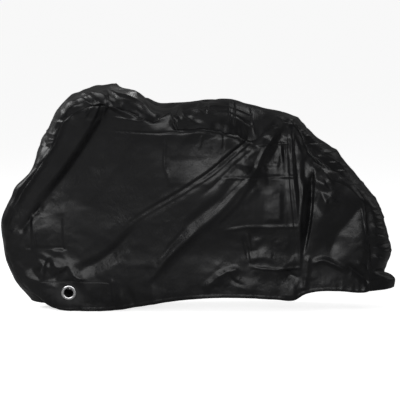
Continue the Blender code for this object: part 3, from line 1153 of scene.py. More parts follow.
FOLDS = (
    # a step down from the wheel and the handlebar grip to the flat of the panel
    Fold(((-0.432, 1.06), (-0.488, 0.95), (-0.562, 0.83), (-0.668, 0.68), (-0.743, 0.59),
          (-0.818, 0.49), (-0.892, 0.38)), -0.038, 0.175, 0.048, 0.22, 0.04, 0.5),
    # short folds that hang from the grip
    Fold(((-0.495, 1.075), (-0.538, 1.03), (-0.575, 0.97)), 0.008, 0.014, 0.012, 0.08, 0.1, 0.6),
    Fold(((-0.45, 1.07), (-0.465, 1.01), (-0.482, 0.935)), 0.007, 0.018, 0.014, 0.08, 0.1, 0.6),
    Fold(((-0.474, 1.07), (-0.5, 1.0), (-0.535, 0.94)), -0.007, 0.016, 0.014, 0.1, 0.1, 0.5),
    # saddle to eyelet: a groove, steep on its lower side, and the crest beside it
    Fold(((0.335, 0.943), (0.245, 0.879), (0.144, 0.797), (0.058, 0.727), (-0.026, 0.669),
          (-0.119, 0.607), (-0.211, 0.551), (-0.308, 0.487), (-0.426, 0.374)),
         -0.01, 0.046, 0.014, 0.16, 0.1, 0.4),
    Fold(((0.346, 0.93), (0.258, 0.868), (0.157, 0.784), (0.071, 0.712), (-0.015, 0.656),
          (-0.109, 0.595), (-0.202, 0.539), (-0.3, 0.475), (-0.42, 0.36)),
         0.006, 0.01, 0.045, 0.08, 0.1, 0.35),
    Fold(((0.31, 0.925), (0.218, 0.855), (0.122, 0.775), (0.036, 0.705), (-0.06, 0.643)),
         -0.004, 0.012, 0.014, 0.08, 0.1, 0.35),
    Fold(((0.3, 0.855), (0.215, 0.785), (0.14, 0.715), (0.06, 0.64), (-0.03, 0.575)),
         -0.0045, 0.016, 0.02, 0.08, 0.2, 0.4),
    Fold(((-0.26, 0.475), (-0.35, 0.39), (-0.41, 0.325), (-0.505, 0.253), (-0.6, 0.2),
          (-0.64, 0.15)), -0.013, 0.06, 0.04, 0.2, 0.3, 0.35),
    # the second, broader ridge below it
    Fold(((0.24, 0.74), (0.167, 0.656), (0.111, 0.585), (0.033, 0.524), (-0.045, 0.457),
          (-0.13, 0.37)), -0.013, 0.05, 0.045, 0.2, 0.25, 0.35),
    Fold(((0.43, 0.95), (0.362, 0.875), (0.313, 0.796), (0.247, 0.697), (0.207, 0.651),
          (0.144, 0.58), (0.081, 0.506), (0.0, 0.442), (-0.077, 0.362), (-0.157, 0.284),
          (-0.219, 0.202), (-0.31, 0.12)), 0.011, 0.05, 0.1, 0.22, 0.12, 0.2),
    Fold(((0.02, 0.455), (-0.077, 0.362), (-0.157, 0.284), (-0.219, 0.202), (-0.28, 0.13)),
         0.007, 0.026, 0.034, 0.08, 0.25, 0.2),
    Fold(((-0.045, 0.452), (-0.14, 0.345), (-0.2, 0.26)), -0.006, 0.022, 0.018, 0.08, 0.25, 0.3),
    Fold(((0.3, 0.775), (0.255, 0.715), (0.207, 0.663), (0.145, 0.598), (0.105, 0.555),
          (0.045, 0.493), (0.0, 0.445)), -0.0055, 0.011, 0.015, 0.08, 0.15, 0.4),
    Fold(((0.27, 0.7), (0.2525, 0.666), (0.182, 0.554), (0.121, 0.49), (0.05, 0.41)),
         0.004, 0.018, 0.024, 0.12, 0.25, 0.4),
    # fans from the saddle
    Fold(((0.4, 0.92), (0.335, 0.84), (0.29, 0.75), (0.265, 0.66)),
         0.006, 0.026, 0.02, 0.12, 0.15, 0.4),
    Fold(((0.43, 0.9), (0.395, 0.78), (0.375, 0.68)), 0.004, 0.024, 0.02, 0.12, 0.15, 0.4),
    # the upright ridge under the back of the saddle
    Fold(((0.455, 0.95), (0.461, 0.8), (0.467, 0.684), (0.487, 0.493), (0.5035, 0.27),
          (0.505, 0.14)), 0.01, 0.03, 0.022, 0.08, 0.12, 0.25),
    Fold(((0.435, 0.93), (0.44, 0.75), (0.452, 0.58), (0.47, 0.42), (0.485, 0.29)),
         0.006, 0.012, 0.016, 0.06, 0.15, 0.3),
    Fold(((0.47, 0.93), (0.482, 0.75), (0.5, 0.6), (0.51, 0.5)),
         -0.006, 0.014, 0.01, 0.08, 0.2, 0.4),
    Fold(((0.4, 0.88), (0.418, 0.74)), 0.004, 0.01, 0.01, 0.05, 0.3, 0.4),
    Fold(((0.425, 0.85), (0.428, 0.7)), -0.004, 0.01, 0.01, 0.05, 0.3, 0.4),
    # creases that fan from the back of the saddle
    Fold(((0.472, 0.965), (0.53, 0.87), (0.588, 0.772)), -0.007, 0.026, 0.016, 0.08, 0.15, 0.25),
    Fold(((0.492, 0.95), (0.555, 0.86), (0.62, 0.785)), 0.005, 0.02, 0.018, 0.08, 0.2, 0.4),
    # the groove under the seam behind the saddle, and the hollow above the pleat
    Fold(((0.462, 0.955), (0.502, 0.905), (0.558, 0.79), (0.6, 0.748), (0.69, 0.694)),
         -0.016, 0.01, 0.04, 0.08, 0.15, 0.25),
    Fold(((0.545, 0.83), (0.53, 0.74), (0.52, 0.64)), -0.01, 0.03, 0.03, 0.15, 0.3, 0.3),
    # the deep pleat behind it: a long slope in, then a sharp step out to the rear part
    Fold(((0.568, 0.76), (0.566, 0.66), (0.562, 0.54), (0.55, 0.43), (0.535, 0.35),
          (0.515, 0.275)), -0.032, 0.008, 0.054, 0.08, 0.22, 0.28),
    Fold(((0.53, 0.72), (0.512, 0.58), (0.503, 0.44), (0.505, 0.27)),
         0.006, 0.014, 0.012, 0.08, 0.3, 0.2),
    # the rear part: a crumpled light face, a crisp upper rim, and a valley across it
    Fold(((0.585, 0.762), (0.63, 0.7), (0.66, 0.64), (0.635, 0.55), (0.6, 0.47),
          (0.565, 0.4)), 0.014, 0.07, 0.075, 0.06, 0.1, 0.35),
    Fold(((0.6, 0.745), (0.665, 0.672), (0.705, 0.655), (0.765, 0.618), (0.825, 0.572)),
         0.009, 0.035, 0.04, 0.05, 0.15, 0.1),
    Fold(((0.828, 0.56), (0.76, 0.475), (0.69, 0.39), (0.665, 0.32), (0.65, 0.25)),
         -0.024, 0.12, 0.105, 0.08, 0.12, 0.3),
    Fold(((0.735, 0.247), (0.79, 0.2), (0.86, 0.142)), -0.01, 0.022, 0.034, 0.08, 0.15, 0.1),
    Fold(((0.56, 0.245), (0.611, 0.266), (0.687, 0.238), (0.75, 0.205)),
         0.009, 0.026, 0.022, 0.08, 0.15, 0.3),
    Fold(((0.548, 0.3), (0.535, 0.2), (0.525, 0.11)), 0.01, 0.03, 0.026, 0.08, 0.2, 0.1),
    # the rear seam stands up as a thin ridge
    Fold(((0.82, 0.555), (0.84, 0.43), (0.855, 0.31), (0.857, 0.21), (0.856, 0.12)),
         0.013, 0.008, 0.015, 0.06, 0.1, 0.1),
    # gathers at the hem
    Fold(((-0.4, 0.15), (-0.38, 0.0)), 0.007, 0.03, 0.03, 0.2, 0.6, 0.0),
    Fold(((-0.36, 0.14), (-0.32, 0.02)), -0.006, 0.025, 0.025, 0.2, 0.6, 0.0),
    Fold(((-0.24, 0.2), (-0.22, 0.02)), 0.008, 0.035, 0.035, 0.25, 0.6, 0.0),
    Fold(((0.2, 0.25), (0.187, 0.235), (0.116, 0.205), (0.01, 0.12)),
         0.01, 0.05, 0.026, 0.06, 0.15, 0.2),
    Fold(((0.215, 0.4), (0.24, 0.31), (0.258, 0.235)), -0.006, 0.02, 0.014, 0.06, 0.2, 0.2),
    Fold(((0.13, 0.23), (0.17, 0.17), (0.24, 0.14)), -0.006, 0.018, 0.018, 0.06, 0.2, 0.4),
    # facets over the eyelet, in a zigzag
    Fold(((-0.8, 0.165), (-0.793, 0.2), (-0.753, 0.268), (-0.715, 0.225), (-0.683, 0.19)),
         0.011, 0.055, 0.026, 0.05, 0.15, 0.1),
    Fold(((-0.69, 0.195), (-0.662, 0.234), (-0.64, 0.2), (-0.618, 0.172), (-0.55, 0.165)),
         0.009, 0.045, 0.022, 0.05, 0.15, 0.3),
)

CREASES = (
    # sharp lines left by packing, across the panel
    Fold(((-0.45, 0.925), (-0.2, 0.915), (0.0, 0.93)), -0.0042, 0.012, 0.01, 0.05, 0.15, 0.15),
    Fold(((-0.44, 0.995), (-0.26, 0.975)), 0.0042, 0.01, 0.01, 0.05, 0.2, 0.2),
    Fold(((0.07, 0.69), (0.5, 0.69)), 0.0046, 0.012, 0.012, 0.05, 0.25, 0.05),
    Fold(((0.12, 0.425), (0.24, 0.442), (0.5, 0.44)), 0.0052, 0.012, 0.012, 0.05, 0.15, 0.05),
    Fold(((0.25, 0.238), (0.39, 0.222), (0.51, 0.23)), 0.005, 0.014, 0.012, 0.05, 0.15, 0.05),
    Fold(((0.27, 0.85), (0.45, 0.852)), 0.0042, 0.01, 0.01, 0.05, 0.15, 0.05),
    Fold(((-0.88, 0.322), (-0.64, 0.318)), -0.0052, 0.012, 0.01, 0.05, 0.1, 0.2),
    # the foot of the long hollow, out to the front edge
    Fold(((-0.775, 0.548), (-0.835, 0.478), (-0.9, 0.392)), -0.011, 0.026, 0.03, 0.1, 0.15, 0.15),
    # sharp lines up the panel
    Fold(((-0.165, 0.9), (-0.172, 0.76), (-0.133, 0.63)), 0.0052, 0.012, 0.012, 0.05, 0.2, 0.3),
    Fold(((0.018, 0.91), (0.0, 0.83)), 0.0042, 0.01, 0.01, 0.05, 0.2, 0.3),
    Fold(((0.124, 0.93), (0.12, 0.82)), -0.0042, 0.01, 0.01, 0.05, 0.2, 0.3),
    Fold(((-0.838, 0.475), (-0.815, 0.325)), 0.0042, 0.01, 0.01, 0.05, 0.2, 0.1),
    Fold(((-0.682, 0.49), (-0.678, 0.33)), 0.0042, 0.01, 0.01, 0.05, 0.1, 0.1),
    Fold(((0.242, 0.415), (0.258, 0.255)), 0.0052, 0.012, 0.01, 0.05, 0.1, 0.1),
    Fold(((-0.437, 0.175), (-0.43, 0.045)), 0.0052, 0.012, 0.01, 0.05, 0.2, 0.1),
)

SWELLS = (
    Swell(0.0, 0.6, 0.32, 0.21, 0.0, 0.03),
    Swell(0.3, 0.16, 0.2, 0.12, 0.0, 0.01),
    Swell(-0.6, 0.4, 0.22, 0.22, 0.0, -0.005),
    Swell(0.36, 0.48, 0.14, 0.2, 0.0, 0.008),
    Swell(0.71, 0.5, 0.1, 0.2, 10.0, 0.01),
    Swell(-0.35, 0.7, 0.16, 0.2, 0.0, -0.008),
)

FACETS = (
    Facet(-0.838, -0.677, 0.315, 0.49, -0.09, 0.02, 0.001, 0.012),
    Facet(0.335, 0.41, 0.47, 0.74, 0.03, -0.06, 0.002),
    Facet(0.412, 0.452, 0.695, 0.83, 0.05, -0.07, 0.002),
    Facet(-0.4, -0.25, 0.938, 0.985, 0.0, 0.06, 0.0),
    Facet(0.25, 0.36, 0.27, 0.42, 0.02, -0.05, 0.001),
    Facet(-0.15, 0.04, 0.655, 0.79, 0.0, -0.045, 0.001),
    Facet(-0.35, -0.22, 0.235, 0.33, 0.02, -0.04, 0.001),
    Facet(0.405, 0.48, 0.08, 0.215, 0.04, -0.06, 0.002),
)

PACKING = Packing(
    x_lines=(-1.02, -0.838, -0.682, -0.437, -0.170, 0.010, 0.122, 0.250, 0.455, 0.660, 0.880),
    z_lines=(-0.02, 0.146, 0.233, 0.320, 0.440, 0.555, 0.692, 0.850, 0.924, 0.988, 1.120),
    heights=(
        (0.000, 0.000, 0.002, 0.000, 0.001, 0.000, 0.002, 0.000, 0.001, 0.000, 0.001),
        (0.002, -0.001, 0.003, 0.001, 0.000, 0.002, 0.000, 0.003, 0.000, 0.002, 0.000),
        (0.000, 0.002, -0.001, 0.002, 0.001, 0.000, 0.002, 0.000, 0.004, 0.000, 0.002),
        (0.002, 0.003, 0.003, 0.000, 0.002, 0.001, 0.000, 0.002, 0.000, 0.002, 0.000),
        (0.000, 0.000, 0.000, 0.001, 0.000, 0.002, 0.001, 0.000, 0.003, 0.000, 0.002),
        (0.001, 0.000, 0.001, 0.000, 0.001, 0.000, 0.002, 0.001, 0.000, 0.002, 0.000),
        (0.000, 0.001, 0.000, 0.001, 0.003, 0.002, 0.000, 0.003, 0.002, 0.000, 0.002),
        (0.001, 0.000, 0.002, 0.000, -0.002, 0.001, 0.002, -0.001, 0.002, 0.001, 0.000),
        (0.000, 0.001, 0.000, 0.003, 0.001, -0.002, 0.002, 0.001, 0.000, 0.000, 0.000),
        (0.000, 0.000, 0.001, -0.001, 0.002, 0.001, 0.000, 0.000, 0.000, 0.000, 0.000),
        (0.000, 0.000, 0.000, 0.000, 0.000, 0.000, 0.000, 0.000, 0.000, 0.000, 0.000),
    ),
)

ZONES = (
    Zone(0.62, 0.70, 0.09, 0.08, 1.6),       # under the carrier's corner
    Zone(0.35, 0.90, 0.16, 0.09, 1.2),       # under the saddle
    Zone(0.61, 0.60, 0.05, 0.13, 1.8),       # behind the pleat
    Zone(0.24, 0.72, 0.08, 0.09, 1.0),
    Zone(-0.74, 0.20, 0.14, 0.09, 1.4),      # over the eyelet
    Zone(0.18, 0.17, 0.14, 0.08, 0.9),       # at the hem
    Zone(0.31, 0.34, 0.07, 0.09, 1.3),
    Zone(0.47, 0.20, 0.06, 0.08, 1.2),
    Zone(0.05, 0.94, 0.22, 0.06, 1.1),
    Zone(-0.55, 1.03, 0.12, 0.08, 1.4),      # at the handlebar
    Zone(-0.95, 0.35, 0.07, 0.25, 0.8),
    Zone(0.84, 0.20, 0.06, 0.12, 1.0),
)


@dataclass(frozen=True)
class HemGathers:
    """Small upright ripples where the hem is drawn in.

    Two sines along the hem, the first with a pace that drifts, fade with the
    height over the hem. They are fuller in a bell at each of two places.
    """

    height: float = 0.0013
    fall: float = 0.05
    coarse: float = 0.0085
    drift: float = 3.0
    drift_reach: float = 0.06
    fine: float = 0.0047
    fine_share: float = 0.6
    fine_phase: float = 1.0
    calm: float = 0.35
    fuller: tuple = ((-0.62, 0.22, 1.0), (0.78, 0.12, 0.3))

    def push(self, x: Array, rim: Array) -> Array:
        """How far the ripples stand out at each x and height over the hem.

        Args:
            x: places along the hem.
            rim: their heights over it.

        Returns:
            One height for each place.
        """
        draw = np.exp(-np.clip(rim, 0, None) / self.fall)
        fuller = sum(share * np.exp(-((x - middle) / reach) ** 2)
                     for middle, reach, share in self.fuller)
        wave = (np.sin(x / self.coarse + self.drift * np.sin(x / self.drift_reach))
                + self.fine_share * np.sin(x / self.fine + self.fine_phase))
        return self.height * wave * draw * (self.calm + fuller)


@dataclass
class SidePanel:
    """A side panel, from the seam round its edge to its turned hem.

    The panel is a net between its four edge curves. Each fold, swell, crease
    and facet pushes it out or in, square to the bicycle's middle plane.
    """

    side: Side
    crumples: tuple
    columns: int = 390
    rows: int = 220
    crowd: float = 0.55
    far_lean: float = 0.015
    far_shift: float = 0.57
    calm: float = 0.30
    crumple_turns: tuple = (25.0, -20.0, 40.0)
    crumple_stretches: tuple = (1.3, 1.25, 1.2)
    eyelet_x: float = -0.655
    eyelet_z: float = 0.093
    eyelet_half: float = 0.122
    flat_r: float = 0.046
    fade_r: float = 0.095
    hole_r: float = 0.029
    shoulder: float = 0.090
    shoulder_reach: tuple = (0.030, 0.22)
    wander_reach: float = 0.070
    seam_still: float = 0.030
    seam_share: float = 0.35
    welt_width: float = 0.009
    welt_height: float = 0.0008
    welt_power: float = 0.8
    groove_depth: float = 0.0055
    groove_fall: float = 0.006
    groove_rise: float = 0.026
    groove_start: tuple = (-0.47, 0.08)
    groove_end: tuple = (0.42, 0.10)
    seam_row: float = 0.0075
    hem_depth: float = 0.018
    casing_height: float = 0.0012
    casing_power: float = 0.7
    gathers: HemGathers = HemGathers()
    hem_roll: tuple = ((0.0006, -0.0009), (0.0020, -0.0011), (0.0030, 0.0000), (0.0032, 0.0160))
    s: Array = field(init=False, repr=False)
    t: Array = field(init=False, repr=False)
    points: Array = field(init=False, repr=False)

    def __post_init__(self) -> None:
        """Work out the net once."""
        self.s = shares(self.columns, self.crowd)
        self.t = shares(self.rows, self.crowd)
        self.points = self.place(self.s[None], self.t[:, None])

    def _edge(self, table: tuple, places: Array, sign: float) -> tuple[Array, Array]:
        """A seam edge's points, and the direction out of the panel in x and z.

        Args:
            table: the edge's rows.
            places: shares of its length.
            sign: 1 or -1, to turn the direction out.

        Returns:
            The points and the directions.
        """
        step = 0.002
        ahead, behind = np.minimum(places + step, 1.0), np.maximum(places - step, 0.0)
        run = spline(table, ahead) - spline(table, behind)
        out = np.stack([-run[..., 2], np.zeros(run.shape[:-1]), run[..., 0]], axis=-1)
        return spline(table, places)[..., :3], sign * unit(out)

    def cage(self, s: Array, t: Array) -> tuple[Array, Array, Array, Array]:
        """The panel without its relief.

        The net ruled from hem to top and the net ruled from front to rear are
        added, and the net ruled from the corners is taken away. Near the seam
        the net then turns in by a share of the half width there, as the square
        of what is left of the shoulder's reach.

        Args:
            s: shares from front to rear.
            t: shares from hem to top, of a shape that fits s.

        Returns:
            Points as x, half width and z, the distance from the nearest seam,
            the distance from the top seam, and the height over the hem.
        """
        hem = spline(HEM, s)
        front, front_out = self._edge(FRONT, t, 1.0)
        top, top_out = self._edge(TOP, s, 1.0)
        rear, rear_out = self._edge(REAR, t, -1.0)
        front_low, rear_low, front_high, rear_high = (
            np.array(row[:3]) for row in (FRONT[0], REAR[0], FRONT[-1], REAR[-1]))
        u, v = s[..., None], t[..., None]
        grid = ((1 - v) * hem + v * top + (1 - u) * front + u * rear
                - (1 - u) * (1 - v) * front_low - u * (1 - v) * rear_low
                - (1 - u) * v * front_high - u * v * rear_high)
        total, waves, weight = np.zeros(grid.shape), np.zeros(grid.shape), np.zeros(grid.shape[:-1])
        gap = top_gap = np.full(grid.shape[:-1], np.inf)
        for edge, out, places in ((front, front_out, t), (top, top_out, s), (rear, rear_out, t)):
            away = np.linalg.norm(grid - edge, axis=-1)
            tented = edge is top and self.side is Side.LEFT
            moved = wander(places) + (TENT.lift(edge[..., 0]) if tented else 0.0)
            held = np.clip(1.0 - away / self.wander_reach, 0.0, None) ** 2
            waves = waves + held[..., None] * moved
            half = edge[..., 1]
            reach = self.shoulder_reach[0] + self.shoulder_reach[1] * half
            share = np.clip(1.0 - away / reach, 0.0, None) ** 2
            inward = -(out + np.array([0.0, 1.0, 0.0])) * self.shoulder * half[..., None]
            total = total + share[..., None] * inward
            weight = weight + share
            gap = np.minimum(gap, away)
            top_gap = away if edge is top else top_gap
        grid = grid + waves + total / np.maximum(weight, 1.0)[..., None]
        return grid, gap, top_gap, grid[..., 2] - hem[..., 2]

    def relief(self, x: Array, z: Array) -> Array:
        """How far the cloth stands out at each place, from every fold, crease and facet.

        Args:
            x: each place's x.
            z: each place's z.

        Returns:
            One height for each place.
        """
        u = x - (self.far_lean if self.side is Side.RIGHT else 0.0)
        push = sum(fold_push(u, z, smooth_path(fold)) for fold in FOLDS)
        push = push + sum(fold_push(u, z, crease) for crease in CREASES)
        push = push + sum(swell_push(u, z, swell) for swell in SWELLS)
        push = push + sum(facet_push(u, z, facet) for facet in FACETS) + PACKING.push(u, z)
        strength = zone_strength(u, z, ZONES, self.calm)
        away = 0.0 if self.side is Side.LEFT else self.far_shift
        fields = zip(self.crumples, self.crumple_turns, self.crumple_stretches)
        return push + strength * sum(crumple.push(u + away, z, turn, stretch)
                                     for crumple, turn, stretch in fields)

    def place(self, s: Array, t: Array) -> Array:
        """The panel's own surface in x, y and z at shares s and t.

        Args:
            s: shares from front to rear.
            t: shares from hem to top.

        Returns:
            One point for each pair of shares.
        """
        grid, gap, top_gap, rim = self.cage(s, t)
        x, half, z = grid[..., 0], grid[..., 1], grid[..., 2]
        still = self.seam_share + (1 - self.seam_share) * rise(gap / self.seam_still)
        half = half + self.relief(x, z) * still + self.gathers.push(x, rim)
        reach = np.hypot(x - self.eyelet_x, z - self.eyelet_z)
        flat = 1.0 - rise((reach - self.flat_r) / (self.fade_r - self.flat_r))
        half = half + (self.eyelet_half - half) * flat
        half = half + self._welt(gap) + self._groove(x, top_gap) + self._casing(rim)
        return np.stack([x, self.side.value * half, z], axis=-1)

    def normals(self, s: Array, t: Array) -> Array:
        """The surface's outward normals, from the slopes over a short step each way.

        Args:
            s: shares from front to rear.
            t: shares from hem to top.

        Returns:
            One normal for each pair of shares.
        """
        step = 0.0015
        along = self.place(s + step, t) - self.place(s - step, t)
        up = self.place(s, t + step) - self.place(s, np.maximum(t - step, 0.0))
        return unit(np.cross(along, up)) * -self.side.value

    def find(self, x: Array, z: Array) -> tuple[Array, Array]:
        """The shares s and t at which the cage passes through x and z.

        Newton's steps: each moves s and t by what the cage's slopes say is
        missing in x and z. The first guess takes the panel as a rectangle.

        Args:
            x: each place's x.
            z: each place's z.

        Returns:
            The shares s and t of each place.
        """
        front_x, length, step, rounds = -0.9, 1.77, 1e-4, 10
        s = np.clip((x - front_x) / length, 0.02, 0.98)
        t = np.clip(z, 0.01, 0.98)
        for _ in range(rounds):
            here = self.cage(s, t)[0]
            by_s = (self.cage(s + step, t)[0] - here) / step
            by_t = (self.cage(s, t + step)[0] - here) / step
            miss_x, miss_z = x - here[..., 0], z - here[..., 2]
            area = by_s[..., 0] * by_t[..., 2] - by_t[..., 0] * by_s[..., 2]
            s = np.clip(s + (miss_x * by_t[..., 2] - by_t[..., 0] * miss_z) / area, 0.0, 1.0)
            t = np.clip(t + (by_s[..., 0] * miss_z - miss_x * by_s[..., 2]) / area, 0.0, 1.0)
        return s, t

    def _welt(self, gap: Array) -> Array:
        """The raised edge where the seam's allowances lie: a half sine over its width."""
        q = np.clip(gap / self.welt_width, 0.0, 1.0)
        return self.welt_height * np.sin(np.pi * q) ** self.welt_power

    def _groove(self, x: Array, top_gap: Array) -> Array:
        """The sharp groove under the top seam: a quick fall and a slow rise below it.

        Args:
            x: places along the panel.
            top_gap: their distances from the top seam.

        Returns:
            One height for each place.
        """
        back_up = rise((top_gap - self.groove_fall) / self.groove_rise)
        fall = rise(top_gap / self.groove_fall) * (1.0 - back_up)
        (start, start_run), (end, end_run) = self.groove_start, self.groove_end
        return -self.groove_depth * fall * rise((x - start) / start_run) * rise((end - x) / end_run)

    def _casing(self, rim: Array) -> Array:
        """The hem's tunnel: a low roll below its stitch line."""
        q = np.clip(rim / self.hem_depth, 0.0, 1.0)
        return self.casing_height * np.sin(np.pi * q) ** self.casing_power

    def _turned_hem(self) -> Array:
        """Extra rows that turn the hem round and up inside, below the first row.

        Returns:
            The rows, the innermost first.
        """
        first = self.points[0]
        rows = [first + np.array([0.0, -self.side.value * inward, up])
                for inward, up in self.hem_roll]
        return np.stack(rows[::-1])

    def build(self) -> Piece:
        """Make the panel's mesh, with the hole under the eyelet.

        Returns:
            The piece.
        """
        net = np.concatenate([self._turned_hem(), self.points])
        faces = net_faces(*net.shape[:2], self.side is Side.RIGHT)
        flat = net.reshape(-1, 3)
        centre = flat[faces].mean(axis=1)
        reach = np.hypot(centre[:, 0] - self.eyelet_x, centre[:, 2] - self.eyelet_z)
        faces = faces[reach > self.hole_r]
        uv = cut_lengths(net).reshape(-1, 2)
        piece = mesh_object(f"{self.side.word}_panel_cloth", flat, faces, uv)
        drop_loose(piece)
        return piece

    def flat_size(self) -> tuple[float, float, float]:
        """The cut's greatest width and height and its area, before the folds.

        Returns:
            The width, the height and the area.
        """
        net = self.cage(self.s[None, ::4], self.t[::4, None])[0]
        width = np.linalg.norm(np.diff(net, axis=1), axis=-1).sum(axis=1).max()
        height = np.linalg.norm(np.diff(net, axis=0), axis=-1).sum(axis=0).max()
        return float(width), float(height), net_area(net)

    def dress(self, piece: Piece, finish: Material, with_pieces: list) -> None:
        """Give the panel its finish, hide the CAD part it replaces and attach it to the root.

        Args:
            piece: the panel's mesh object.
            finish: its material.
            with_pieces: the pieces sewn on it; not used.
        """
        piece.data.materials.append(finish)
        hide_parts(f"{self.side.word}_panel")
        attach(piece, "root")
        width, length, area = self.flat_size()

    def sew(self, row: Stitching) -> None:
        """Lay the stitch rows along the seam and along the hem.

        Their distances from the edges are shares of the panel's width or height
        there, and the rows stop just short of the corners.

        Args:
            row: the stitching to add the rows to.
        """
        coarse_s, coarse_t = self.s[::8], self.t[::8]
        net = self.cage(coarse_s[None], coarse_t[:, None])[0]
        wide = np.linalg.norm(np.diff(net, axis=1), axis=-1).sum(axis=1)
        tall = np.linalg.norm(np.diff(net, axis=0), axis=-1).sum(axis=0)
        up = np.linspace(0.02, 0.985, 500)
        across = np.linspace(0.008, 0.992, 700)
        in_s = self.seam_row / np.interp(up, coarse_t, wide)
        in_t = self.seam_row / np.interp(across, coarse_s, tall)
        hem_t = self.hem_depth / np.interp(across, coarse_s, tall)
        for s, t in ((in_s, up), (across, 1 - in_t), (1 - in_s, up), (across, hem_t)):
            row.add(self.place(s, t), self.normals(s, t))


# ---------------------------------------------------------------- gusset


# lines in the length along the crown from the front hem and the distance across it

